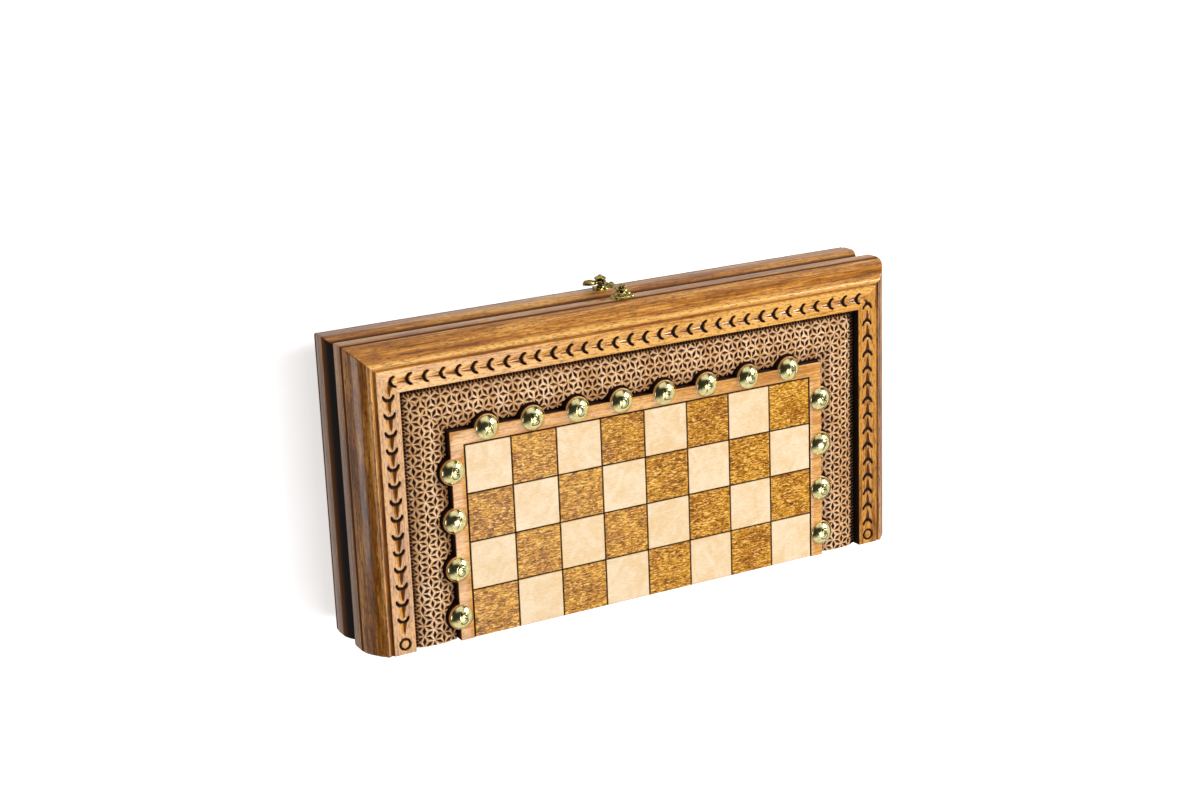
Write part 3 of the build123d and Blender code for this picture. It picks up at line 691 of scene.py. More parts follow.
@dataclass(frozen=True)
class InlaidVeneer:
    """Sliced veneer let into the board, each square cut from another place of the leaf.

    Short flecks run along X, dark pores and pale rays between them, under a thinner
    coat of lacquer than the frame has.
    """

    name: str
    tones: tuple[str, str, str]
    pore: str
    ray: str
    pore_share: float
    ray_share: float
    fleck_width: float = 0.85
    stretch: float = 3.6
    cloud_width: float = 14.0
    square_change: float = 0.12

    def build(self) -> Material:
        """Make the material."""
        material, tree = new_material(self.name)
        place = add_node(tree, "TexCoord").outputs["Object"]
        cells = {0: place, 1: (1 / (BOX.square * MM),) * 3}
        cell = add_node(tree, "VectorMath", cells, operation="MULTIPLY").outputs["Vector"]
        cell = add_node(tree, "VectorMath", {0: cell}, operation="FLOOR").outputs["Vector"]
        chance = add_node(tree, "TexWhiteNoise", {"Vector": cell}).outputs
        cut_from = {0: chance["Color"], 1: (1.0, 1.0, 1.0), 2: place}
        leaf = add_node(tree, "VectorMath", cut_from, operation="MULTIPLY_ADD").outputs["Vector"]
        drawn = drawn_out(tree, leaf, self.fleck_width, self.stretch, Grain.X)
        flecks = noisy(tree, drawn, Detail=3.0, Roughness=0.6, Distortion=0.9)
        clouds = noisy(tree, leaf, 1000 / self.cloud_width, Detail=3.0, Distortion=1.2)
        tone = counted(tree, "MULTIPLY_ADD", chance["Value"], self.square_change, clouds)
        # The two sources average 0.06 + 0.5, which the ramp is centred on.
        wood = toned(tree, tone, (0.42, 0.56, 0.7), self.tones)
        wood = tinted(tree, ranged(tree, flecks, 0.5, 0.6, 0.0, self.pore_share), wood, self.pore)
        wood = tinted(tree, ranged(tree, flecks, 0.46, 0.36, 0.0, self.ray_share), wood, self.ray)
        feed(tree, tree.nodes["Principled BSDF"], {
            "Base Color": wood,
            "Roughness": 0.3,
            "Specular IOR Level": 0.14,
            "Coat Weight": 0.15,
            "Coat Roughness": 0.12,
            "Normal": bumped(tree, flecks, 0.08, 0.2),
        })
        return material


@dataclass(frozen=True)
class Flock:
    """Nylon flock blown onto glue on the nest: a deep matt green with a soft bloom."""

    name: str = "green_flock"
    fibre: float = 0.7

    def build(self) -> Material:
        """Make the material."""
        material, tree = new_material(self.name)
        place = add_node(tree, "TexCoord").outputs["Object"]
        # Real flock is 0.02 mm fibre, too fine to show, so the pile is drawn as tufts.
        tufts = noisy(tree, place, 1000 / self.fibre, Detail=4.0)
        feed(tree, tree.nodes["Principled BSDF"], {
            "Base Color": toned(tree, tufts, (0.3, 0.7), ("#0c2613", "#1d4a27")),
            "Roughness": 0.95,
            "Sheen Weight": 0.6,
            "Sheen Roughness": 0.4,
            "Normal": bumped(tree, tufts, 0.6, 0.3),
        })
        return material


class Finishes:
    """Every material of the box, made once."""

    def __init__(self) -> None:
        """Build the materials."""
        self.frame_x = LacqueredWood("lacquered_beech_along_x", Grain.X).build()
        # Painted shade: the two end rails are a deeper, redder brown than the clasp rail, to darken the side
        # away from the light.
        self.frame_y_painted_shade = LacqueredWood(
            "lacquered_beech_along_y", Grain.Y, dark="#4e2a06", middle="#96590f", light="#d4943c",
            fleck="#3c1e04",
        ).build()
        # The carving is paler and duller than the frame, so that its cuts stand out.
        self.carving = LacqueredWood(
            "chip_carved_lime", Grain.Y, dark="#c4915c", middle="#e4b884", light="#fbdab2", fleck="#9c6630",
            cut="#844c16", pit="#100602", roughness=0.45, coat=0.15,
        ).build()
        # The border is finer in its grain than the frame, and lighter.
        self.border = LacqueredWood(
            "lacquered_border", Grain.X, dark="#ba7a32", middle="#da9c50", light="#f0be78", fleck="#8e5612",
            pit="#2e1006", streak_width=0.9, fleck_share=0.5,
        ).build()
        # Maple is even and creamy; the stain brings out beech's pores and rays in strong flecks.
        self.maple = InlaidVeneer(
            "maple_veneer", ("#e8c898", "#ecd2ab", "#efdab8"), "#e2b67e", "#f2dfc2", 0.35, 0.4
        ).build()
        self.stained_beech = InlaidVeneer(
            "stained_beech_veneer", ("#a8660a", "#c07e12", "#d69628"), "#543000", "#ffd078", 0.92, 0.95
        ).build()
        # The studs are bright, the castings are duller and patched with dark tarnish.
        self.stud = Metal(
            "polished_brass", "#efe6ac", "#d6c988", 0.17, engraved="#4a4214", mark_depth=0.01
        ).build()
        self.latch = Metal("antique_cast_brass", "#cdb96e", "#403610", 0.22, mark_depth=0.08).build()
        self.hinge = Metal("plated_brass", "#d8c48a", "#b8a468", 0.28).build()
        self.steel = Metal("drawn_steel", "#b4b4b0", "#8c8c88", 0.3).build()
        self.flock = Flock().build()
        # Boxwood is close and pale, and takes a dark stain evenly.
        self.light_men = LacqueredWood(
            "turned_boxwood", Grain.Y, dark="#cfa25e", middle="#dfb877", light="#edd09a", fleck="#b98a48",
            cut="#7a4e20", pit="#3a2410", fleck_share=0.3,
        ).build()
        self.dark_men = LacqueredWood(
            "stained_boxwood", Grain.Y, dark="#1d0c05", middle="#35180b", light="#4d2612", fleck="#140803",
            cut="#160a04", fleck_share=0.3,
        ).build()


@dataclass
class ChipChain:
    """The chain of crescent cuts with tapering tails along the frame's face.

    It runs from a ring by the hinge on the -X side, up that side, along the clasp
    side and down the +X side to a second ring, bending round the two corners.
    """

    offset: float = 7.5
    bend: float = 6.0
    start: float = 6.5
    pitch: float = 11.1
    ring_radius: float = 3.4
    ring_width: float = 0.8
    crescent_radius: float = 3.5
    crescent_turn: float = math.radians(80)
    crescent_width: float = 1.25
    crescent_tip: float = 0.75
    crescent_depth: float = 1.7
    tail_start: float = 0.6
    tail_length: float = 7.8
    tail_wide: float = 2.2
    tail_slim: float = 0.8
    tail_depth: float = 1.7
    tail_painted_shade: tuple[float, float] = (0.42, 0.06)
    slip: float = 0.7
    drift: float = 0.5
    least_size: float = 0.94
    size_spread: float = 0.12
    crescent_power: float = 0.6
    crescent_stain_gain: float = 3.5
    tail_end_slope: float = 5.0
    tail_painted_shade_gain: float = 4.0

    def along(self, x: Array, y: Array) -> tuple[Array, Array, float]:
        """Places along and across the chain.

        Args:
            x, y: Places of the face's points.

        Returns:
            Distance along the chain, distance outward from its line, and its length.
        """
        line = BOX.inner + self.offset
        corner = line - self.bend
        across, down = np.abs(x), -y
        side = corner - self.start
        angle = np.arctan2(down - corner, across - corner)
        reach = np.hypot(down - corner, across - corner)
        on_side = down <= corner
        in_bend = (down > corner) & (across > corner)
        s = np.where(on_side, down - self.start, side + self.bend * math.pi / 2 + corner - across)
        s = np.where(in_bend, side + self.bend * angle, s)
        out = np.where(on_side, across - line, down - line)
        out = np.where(in_bend, reach - self.bend, out)
        total = 2 * side + self.bend * math.pi + 2 * corner
        return np.where(x > 0, total - s, s), out, total

    def motif(self, q: Array, n: Array, away: Array) -> tuple[Array, Array]:
        """Depth and stain of one crescent and its tail.

        Args:
            q: Distance ahead of the crescent's apex.
            n: Distance outward from the chain's line.
            away: Where a tail's facet gets painted shade, on the end rails the side away from the light.

        Returns:
            Depth in millimetres, and stain.
        """
        reach = np.hypot(q + self.crescent_radius, n)
        turn = np.abs(np.arctan2(n, q + self.crescent_radius)) / self.crescent_turn
        width = self.crescent_tip + (self.crescent_width - self.crescent_tip) * unit(1 - turn**2)
        beyond = np.clip(turn - 1, 0, 9) * self.crescent_turn * self.crescent_radius
        cut = unit(1 - np.hypot(reach - self.crescent_radius, beyond) / width)
        depth = self.crescent_depth * cut**self.crescent_power
        stain = unit(cut * self.crescent_stain_gain)
        share = (q - self.tail_start) / self.tail_length
        half = self.tail_wide + (self.tail_slim - self.tail_wide) * unit(share)
        wedge = unit(1 - np.abs(n) / half) * ((share > 0) & (share < 1))
        wedge = wedge * unit((1 - share) * self.tail_end_slope)
        tail = self.tail_depth * wedge * half / self.tail_wide
        # Painted shade: one facet of each tail is darker than the other.
        shade = np.where(away, *self.tail_painted_shade) * unit(wedge * self.tail_painted_shade_gain)
        return np.maximum(depth, tail), np.maximum(stain, shade)

    def cut(self, x: Array, y: Array) -> tuple[Array, Array]:
        """Depth and stain of the whole chain at points of the face.

        Args:
            x, y: Places of the points.

        Returns:
            Depth in millimetres, and stain.
        """
        s, n, total = self.along(x, y)
        count = int((total - self.ring_radius * 2) // self.pitch)
        lead = (total - count * self.pitch) / 2 + self.crescent_radius
        depth = np.zeros_like(s)
        stain = np.zeros_like(s)
        # The tail facets that get painted shade: on the end rails the ones away from the light from -X, on
        # the clasp rail the inner ones.
        away = np.where(-y > np.abs(x), n < -0.5, n * x < 0)
        for step in (0, 1):
            index = np.floor((s - lead) / self.pitch) + step
            slip = (hashed(index, 1.0) - 0.5) * self.slip
            drift = (hashed(index, 2.0) - 0.5) * self.drift
            size = self.least_size + self.size_spread * hashed(index, 3.0)
            q = (s - lead - index * self.pitch - slip) / size
            here, shade = self.motif(q, (n - drift) / size, away)
            real = (index >= 0) & (index < count)
            depth = np.where(real, np.maximum(depth, here), depth)
            stain = np.where(real, np.maximum(stain, shade), stain)
        for centre in (0.0, total):
            reach = np.hypot(s - centre, n)
            ring = unit(1 - np.abs(reach - self.ring_radius) / self.ring_width)
            depth = np.maximum(depth, self.crescent_depth * ring**0.7)
            stain = np.maximum(stain, unit(ring * 2))
        return depth, stain


@dataclass
class Frame:
    """The three moulded rails of each half, with the chain carved in their face.

    Pairs of stains and painted sheens, and the dark seam's pair of heights, are for the
    clasp rail and then for the two end rails. The seam darkens with stain gathered in
    the joint and with painted shade under the flange; the paler face, and the clasp
    rail's paler bead, are a painted sheen. The chain room is where the chain's cuts may
    lie, across the face.
    """

    quirk_depth: float = 1.6
    bead_start: float = 1.4
    bead_end: float = 4.6
    bead_bulge: float = 1.2
    bead_foot: float = 2.0
    ovolo_reach: float = 14.5
    ovolo_drop: float = 15.8
    ovolo_bulge: float = 1.6
    scribe_depth: float = 1.0
    scribe_width: float = 2.4
    flange_drop: float = 28.0
    seam_reach: float = 10.3
    seam_bulge: float = 0.6
    # Painted shade: the undercut darkens towards the seam over these heights, with stain gathered in the
    # joint and shade under the flange.
    seam_dark: tuple[float, float] = (5.0, 13.0)
    seam_stain_and_shade: tuple[float, float] = (0.8, 0.94)
    # Painted sheen: negative stains make the face, and the clasp rail's bead, paler.
    face_painted_sheen: tuple[float, float] = (-0.42, -0.5)
    bead_painted_sheen: tuple[float, float] = (-0.9, 0.0)
    seam_fade: float = 1.5
    scribe_stain: float = 0.5
    quirk_floor_stain: float = 0.3
    quirk_wall_stain: float = 0.1
    wall_darkness: float = 0.96
    chain_room: tuple[float, float] = (2.6, 12.4)
    corner_from: float = 4.0
    corner_over: float = 8.0
    ease: float = 0.35
    step: float = 0.42
    corner_round: float = 0.9
    end_round: float = 2.2
    chain: ChipChain = field(default_factory=ChipChain)

    def eased(self, corner: tuple[float, float], onward: tuple[float, float]) -> tuple[float, float]:
        """The point a little way from a corner of the section towards the next point.

        Args:
            corner: The corner.
            onward: The next point.

        Returns:
            The point that takes the corner's place.
        """
        (ax, ay), (bx, by) = corner, onward
        share = self.ease / max(self.ease * 2, math.hypot(bx - ax, by - ay))
        return ax + (bx - ax) * share, ay + (by - ay) * share

    def section(self, side: Side) -> tuple[Array, Array, Array]:
        """The rail's closed section.

        Args:
            side: The rail's side: on the two ends the seam's painted shade is darker, the face's painted
                sheen paler.

        Returns:
            Outward distance, height and stain of each point.
        """
        out, top = BOX.face, BOX.height
        kind = 0 if side is Side.CLASP else 1
        seam_out = (out + self.seam_reach, BOX.seam)
        flange_low = (out + BOX.flange, top - self.flange_drop)
        flange_high = (out + BOX.flange, top - self.ovolo_drop - self.scribe_width)
        ovolo_low = (out + self.ovolo_reach, top - self.ovolo_drop)
        scribe = (ovolo_low[0] - self.scribe_depth, ovolo_low[1] - self.scribe_depth)
        bead_end = (out + self.bead_end, top - self.bead_foot)
        bead_start = (out + self.bead_start, top - self.quirk_depth)
        runs = [
            ([(BOX.lip, BOX.seam), (out, BOX.seam), seam_out], 0.0),
            (arc_points(seam_out, flange_low, self.seam_bulge, 6), 0.0),
            ([flange_low, (flange_low[0], (flange_low[1] + flange_high[1]) / 2), flange_high], 0.0),
            ([flange_high, scribe], self.scribe_stain),
            ([scribe, ovolo_low], self.scribe_stain),
            (arc_points(ovolo_low, bead_end, self.ovolo_bulge, 14), 0.0),
            (arc_points(bead_end, bead_start, self.bead_bulge, 8), self.bead_painted_sheen[kind]),
            ([bead_start, (out, top - self.quirk_depth)], self.quirk_floor_stain),
            ([(out, top - self.quirk_depth), (out, top)], self.quirk_wall_stain),
            (self.face_run(), self.face_painted_sheen[kind]),
            # These runs colour the frame's inner wall and the ledge below it nearly black.
            ([(0, top), (0, BOX.ground)], self.wall_darkness),
            ([(0, BOX.ground), (BOX.lip, BOX.ground)], self.wall_darkness),
            ([(BOX.lip, BOX.ground), (BOX.lip, BOX.seam)], 0.0),
        ]
        rows = []
        for run, stain in runs:
            places = [self.eased(run[0], run[1]), *run[1:-1], self.eased(run[-1], run[-2])]
            rows += [(x, y, stain) for x, y in places]
        across, height, stain = np.array(rows).T
        # The undercut below the flange darkens towards the seam: stain gathered in the joint, and painted
        # shade.
        under = (height < flange_low[1]) & (across > out)
        fade = unit(self.seam_fade * (1 - (height - BOX.seam) / self.seam_dark[kind]))
        return across, height, np.where(under, self.seam_stain_and_shade[kind] * fade, stain)

    def face_run(self) -> Outline:
        """Points across the flat face, close together where the chain is cut."""
        low, high = self.chain_room
        across = [0.0, 1.2, *np.arange(low, high, self.step), high, 13.8, BOX.face]
        return [(d, BOX.height) for d in reversed(across)]

    def rail(self, side: Side) -> Shape:
        """One rail of the lid.

        Args:
            side: Which of the three.

        Returns:
            The closed rail.
        """
        out, height, stain = self.section(side)
        reach = BOX.inner + out[:, None]
        clasp = side is Side.CLASP
        length = 2 * BOX.inner if clasp else BOX.inner
        share = np.linspace(-1 if clasp else 0, 1, int(length / self.step) + 2)[None, :]
        if clasp:
            x, y = share * reach, -reach + 0 * share
        else:
            x, y = side.value * reach + 0 * share, -share * reach
        x, y = self.rounded(x, y, out[:, None])
        z = height[:, None] + 0 * share
        dark = stain[:, None] + 0 * share
        face = (height > BOX.height - 1e-6) & (out > 0.5) & (out < BOX.face - 0.5)
        depth, shade = self.chain.cut(x[face], y[face])
        z[face] -= depth
        dark[face] = dark[face] * (1 - unit(shade * 4)) + shade
        return swept(np.stack([x, y, z], axis=-1), dark)

    def rounded(self, x: Array, y: Array, out: Array) -> tuple[Array, Array]:
        """Ease the moulding's mitred corner and its end at the hinge.

        Args:
            x, y: Places of the rail's points.
            out: Outward distance of each section point.

        Returns:
            The eased X and Y.
        """
        edge = unit((out - BOX.face - self.corner_from) / self.corner_over)
        reach = BOX.inner + out
        radius = np.maximum(edge * self.corner_round, 1e-6)
        a = np.abs(x) - (reach - radius)
        b = -y - (reach - radius)
        corner = (a > 0) & (b > 0) & (edge > 0)
        norm = np.where(corner, np.maximum(a, b) / np.maximum(np.hypot(a, b), 1e-9), 1)
        round_x = np.sign(x) * (reach - radius + a * norm)
        round_y = -(reach - radius + b * norm)
        x, y = np.where(corner, round_x, x), np.where(corner, round_y, y)
        near = unit(1 + y / self.end_round)
        tuck = self.end_round * (1 - np.sqrt(unit(1 - near**2))) * edge
        return np.sign(x) * (np.abs(x) - tuck), y

    def dress(self, finishes: Finishes) -> None:
        """Build the moulded rails of both halves."""
        for side in Side:
            shape = self.rail(side)
            # The end rails take the material with painted shade.
            finish = finishes.frame_x if side is Side.CLASP else finishes.frame_y_painted_shade
            for half in Half:
                node = f"{half.value}_{side.name.lower()}_rail"
                shape.for_half(half).build("carved", node, finish, half.value, "frame_beech")


@dataclass
class LatticePanel:
    """The chip-carved panel: a swelling band of rosettes round the board.

    Knots stand in rows along each arm of the band, and a four-sided chip is cut
    between each two neighbours. Places are measured from the arm's corner: along the
    arm, and in from the frame. The arms mirror each other at the mitre. Pairs of
    stains are for a chip's facet that faces away from the light, which gets painted
    shade on top of its stain, then for its others.
    """

    pitch: float = 7.08
    row: float = 6.64
    cells: int = 16
    chip_length: float = 6.4
    chip_width: float = 2.7
    chip_depth: float = 1.25
    crest: float = 0.46
    crest_depth: float = 2.6
    frame_rise: float = 0.6
    moat_rise: float = 2.0
    notch_pitch: float = 2.2
    notch_width: float = 2.1
    notch_reach: float = 3.7
    notch_depth: float = 1.3
    sunk: float = 0.1
    brink: float = 0.6
    least_wood: float = 0.15
    sway: tuple[float, float, float] = (0.20, 0.22, 0.10)
    slip: float = 0.3
    turn: float = 0.16
    least_size: float = 0.9
    size_spread: float = 0.18
    chip_stain_and_shade_gain: tuple[float, float] = (4.2, 1.4)
    chip_most_stain_and_shade: tuple[float, float] = (1.0, 0.68)
    brink_darkness: float = 0.95
    wall_darkness: float = 0.55
    wall_reach: float = 1.2
    low_stain_and_shade: float = 0.30
    low_reach: float = 15.0
    low_start: float = 0.25
    chip_power: float = 0.9
    chip_end_slope: float = 1.6
    notch_end_slope: float = 1.8
    notch_drift: float = 0.25
    notch_stain_gain: float = 2.6
    moat_ease: float = 0.5
    brink_drop: float = 0.5

    @property
    def step(self) -> float:
        """Distance between neighbouring points of the mesh."""
        return self.pitch / self.cells

    def swell(self, inset: Array) -> Array:
        """Height of the uncarved band at a distance in from the frame.

        Args:
            inset: Distance from the frame's inner wall.

        Returns:
            Height above the seam.
        """
        places = [0.0, self.crest * BOX.carved, BOX.carved - BOX.moat]
        heights = [
            BOX.ground + self.frame_rise,
            BOX.height - self.crest_depth,
            BOX.ground + self.moat_rise,
        ]
        (ax, bx, cx), (ay, by, cy) = places, heights
        spread = 2 * (ax * (by - cy) + bx * (cy - ay) + cx * (ay - by))
        squares = [x * x + y * y for x, y in zip(places, heights)]
        ux = (squares[0] * (by - cy) + squares[1] * (cy - ay) + squares[2] * (ay - by)) / spread
        uy = (squares[0] * (cx - bx) + squares[1] * (ax - cx) + squares[2] * (bx - ax)) / spread
        radius = math.hypot(ax - ux, ay - uy)
        return uy + np.sqrt(np.maximum(radius**2 - (inset - ux) ** 2, 0))

    def chips(self, along: Array, inset: Array, x: Array, clasp: Array) -> tuple:
        """How far into a chip each point lies, from 0 at its rim to 1 at its bottom.

        Args:
            along: Distance from the arm's corner.
            inset: Distance in from the frame.
            x: X of each point.
            clasp: Where a point lies in the clasp side's arm.

        Returns:
            The deepest share at each point, and where the chip's facet faces away from the
            light, which gets painted shade.
        """
        arm = np.sign(x) + 3.0 * ~clasp
        onward_sway, inward_sway, waver = self.sway
        along = along + onward_sway * np.sin(inset / 4.1 + along / 9.0 + arm)
        inset = inset + inward_sway * np.sin(along / 10.0 + arm * 2) + waver * np.sin(along / 3.7)
        deepest = np.zeros_like(along)
        steep = np.zeros(along.shape, bool)
        for lean in (0, -1, 1):
            middle = self.pitch - (self.row / 2 if lean else 0)
            row = np.round((inset - middle) / self.row)
            shift = np.mod(row, 2) / 2 + (lean / 4 if lean else 0.5)
            place = along / self.pitch - shift
            number = np.round(place)
            run = np.array([-self.row, lean * self.pitch / 2]) if lean else np.array([0.0, 1.0])
            run = run / np.hypot(*run)
            key = number * 7 + row * 131 + lean * 17 + arm * 911
            turn = (hashed(key, 1.0) - 0.5) * self.turn
            size = self.least_size + self.size_spread * hashed(key, 2.0)
            across = inset - middle - row * self.row + (hashed(key, 3.0) - 0.5) * self.slip
            onward = (place - number) * self.pitch + (hashed(key, 4.0) - 0.5) * self.slip
            u = across * run[0] + onward * run[1]
            v = across * run[1] - onward * run[0]
            u, v = u + v * turn, v - u * turn
            share = size - np.abs(u) * 2 / self.chip_length - np.abs(v) * 2 / self.chip_width
            # Painted shade: of each chip's two facets, the one away from the light is marked for more stain.
            side_x = np.where(clasp, run[0], -run[1]) * np.sign(x)
            side_y = np.where(clasp, run[1], -run[0])
            steep = np.where(share > deepest, v * (side_x + 0.35 * side_y) < 0, steep)
            deepest = np.maximum(deepest, share)
        return deepest, steep

    def moat_distance(self, x: Array, y: Array) -> Array:
        """Signed distance out from the moat's lobed outer edge.

        Args:
            x, y: Places of the points.

        Returns:
            The distances, negative inside the moat.
        """
        edge = BOX.field + BOX.border + BOX.moat
        dx, dy = np.abs(x) - edge, -y - edge
        outside = np.hypot(np.maximum(dx, 0), np.maximum(dy, 0))
        distance = outside + np.minimum(np.maximum(dx, dy), 0)
        for px, py in BOX.stud_places:
            distance = np.minimum(distance, np.hypot(x - px, y - py) - BOX.lobe - BOX.moat)
        return distance

    def net(self) -> tuple[Array, Array, Array, Array]:
        """A flat net of triangles over the band, its inner edge laid on the moat's.

        Returns:
            X, Y and distance from the moat of each point, and the triangles.
        """
        line = np.append(np.arange(0, BOX.inner - self.step / 2, self.step), BOX.inner)
        across = np.concatenate([line - BOX.inner, (BOX.inner - line)[-2::-1]])
        x, y = np.meshgrid(across, line - BOX.inner, indexing="ij")
        # The cut of each square runs towards the corner on the +X side and mirrors at X = 0.
        right = (x[:-1, :-1] > -1e-6)[..., None]
        return edge_net(x, y, self.moat_distance, self.step, right, 0.0)

    def carved(self, x: Array, y: Array, distance: Array) -> tuple[Array, Array]:
        """Height and stain of the carving at points of the net.

        Args:
            x, y: Places of the net's points.
            distance: Distance of each point from the moat.

        Returns:
            Height above the seam, and stain.
        """
        inset = BOX.inner - np.maximum(np.abs(x), -y)
        along = BOX.inner - np.minimum(np.abs(x), -y)
        share, steep = self.chips(along, inset, x, -y >= np.abs(x))
        share = unit(share)
        share = share * unit((inset - self.notch_reach) * self.chip_end_slope)
        number = np.floor(along / self.notch_pitch)
        slip = (hashed(number, 5.0) - 0.5) * self.notch_drift
        tooth = np.abs(np.mod(along / self.notch_pitch, 1) - 0.5) * self.notch_pitch + slip
        notch = unit(1 - 2 * tooth / self.notch_width)
        notch = notch * unit((self.notch_reach - inset) * self.notch_end_slope)
        plain = self.swell(inset)
        depth = self.chip_depth * share**self.chip_power + self.notch_depth * np.sqrt(notch)
        depth = depth * unit(distance / self.moat_ease)
        depth = np.minimum(depth, plain - BOX.ground - self.least_wood)
        brink = unit(1 - distance / self.brink)
        # Stain and painted shade darken the band's low sides, away from its crest.
        from_crest = np.abs(inset - self.crest * BOX.carved)
        low = self.low_stain_and_shade * unit(from_crest / self.low_reach - self.low_start)
        # The facet away from the light gets more: stain and painted shade.
        stain = np.clip(share * np.where(steep, *self.chip_stain_and_shade_gain), 0, np.where(steep, *self.chip_most_stain_and_shade))
        stain = np.maximum(stain, unit(notch * self.notch_stain_gain))
        stain = np.maximum(stain, self.brink_darkness * brink)
        stain = np.maximum(stain, self.wall_darkness * unit(1 - inset / self.wall_reach))
        return plain - depth - self.brink_drop * brink**2, unit(stain + low * (1 - stain))

    def band(self) -> Shape:
        """Carve the net and close it with walls and a floor."""
        x, y, distance, triangles = self.net()
        height, stain = self.carved(x, y, distance)
        follow = dict(rim_edges(triangles, len(x)).tolist())
        loop = [next(iter(follow))]
        while follow[loop[-1]] != loop[0]:
            loop.append(follow[loop[-1]])
        lower = {v: len(x) + k for k, v in enumerate(loop)}
        floor = np.stack([x[loop], y[loop], np.full(len(loop), BOX.ground - self.sunk)], axis=1)
        faces = [tuple(t) for t in triangles.tolist()]
        faces += [(a, lower[a], lower[b], b) for a, b in zip(loop, loop[1:] + loop[:1])]
        faces.append(tuple(lower[v] for v in reversed(loop)))
        points = np.concatenate([np.stack([x, y, height], axis=1), floor])
        return Shape(points, faces, np.concatenate([stain, np.full(len(loop), 1.0)])).outward()

    def slab(self) -> Shape:
        """The panel under the band, its top black where the moat shows it."""
        reach = BOX.inner + BOX.lip - self.sunk
        low, high = BOX.ground - BOX.panel, BOX.ground
        corners = [(-reach, -reach), (reach, -reach), (reach, 0.0), (-reach, 0.0)]
        points = [(x, y, z) for z in (low, high) for x, y in corners]
        faces = [(0, 3, 2, 1), (4, 5, 6, 7), (0, 1, 5, 4), (1, 2, 6, 5), (2, 3, 7, 6), (3, 0, 4, 7)]
        shape = Shape.plain(points, faces)
        shape.stain[4:] = 1.0
        return shape.outward()

    def dress(self, finishes: Finishes) -> None:
        """Build the panels of both halves."""
        whole = self.band().joined(self.slab())
        for half in Half:
            node = f"{half.value}_carved_panel"
            whole.for_half(half).build("rosette", node, finishes.carving, half.value, "carved_lime", 50.0)


# The strokes of each character, on a grid GLYPH_WIDE by GLYPH_TALL.
GLYPHS: dict[str, list[Outline]] = {
    "A": [[(0, 0), (2, 6), (4, 0)], [(0.8, 2.2), (3.2, 2.2)]],
    "B": [[(0, 0), (0, 6), (2.6, 6), (3.6, 5.2), (3.6, 4), (2.6, 3.2), (0, 3.2)],
          [(2.6, 3.2), (4, 2.2), (4, 1), (2.8, 0), (0, 0)]],
    "C": [[(4, 5), (3, 6), (1.2, 6), (0, 4.6), (0, 1.4), (1.2, 0), (3, 0), (4, 1)]],
    "D": [[(0, 0), (0, 6), (2.4, 6), (4, 4.4), (4, 1.6), (2.4, 0), (0, 0)]],
    "E": [[(4, 6), (0, 6), (0, 0), (4, 0)], [(0, 3.1), (3, 3.1)]],
    "F": [[(4, 6), (0, 6), (0, 0)], [(0, 3.1), (3, 3.1)]],
    "G": [[(4, 5), (3, 6), (1.2, 6), (0, 4.6), (0, 1.4), (1.2, 0), (3, 0), (4, 1), (4, 2.8), (2.4, 2.8)]],
    "H": [[(0, 0), (0, 6)], [(4, 0), (4, 6)], [(0, 3), (4, 3)]],
    "1": [[(1, 4.8), (2.4, 6), (2.4, 0)], [(1, 0), (3.8, 0)]],
    "2": [[(0, 4.8), (1, 6), (3, 6), (4, 5), (4, 3.8), (0, 0), (4, 0)]],
    "3": [[(0, 5.2), (1, 6), (3, 6), (4, 5), (4, 4), (3, 3.2), (1.6, 3.2)],
          [(3, 3.2), (4, 2.3), (4, 1), (3, 0), (1, 0), (0, 0.8)]],
    "4": [[(3, 0), (3, 6), (0, 2), (4, 2)]],
    "5": [[(3.8, 6), (0.4, 6), (0.2, 3.4), (2.6, 3.6), (4, 2.6), (4, 1.2), (2.8, 0), (1, 0), (0, 0.8)]],
    "6": [[(3.6, 5.4), (2.6, 6), (1.2, 6), (0, 4.4), (0, 1.4), (1.2, 0), (2.8, 0), (4, 1.2), (4, 2.2),
           (2.8, 3.4), (1.2, 3.4), (0, 2.4)]],
    "7": [[(0, 6), (4, 6), (1.4, 0)]],
    "8": [[(2, 3.2), (0.6, 4), (0.6, 5.2), (1.4, 6), (2.6, 6), (3.4, 5.2), (3.4, 4), (2, 3.2), (0, 2.2),
           (0, 1), (1.2, 0), (2.8, 0), (4, 1), (4, 2.2), (2, 3.2)]],
}
GLYPH_WIDE = 4.0
GLYPH_TALL = 6.0


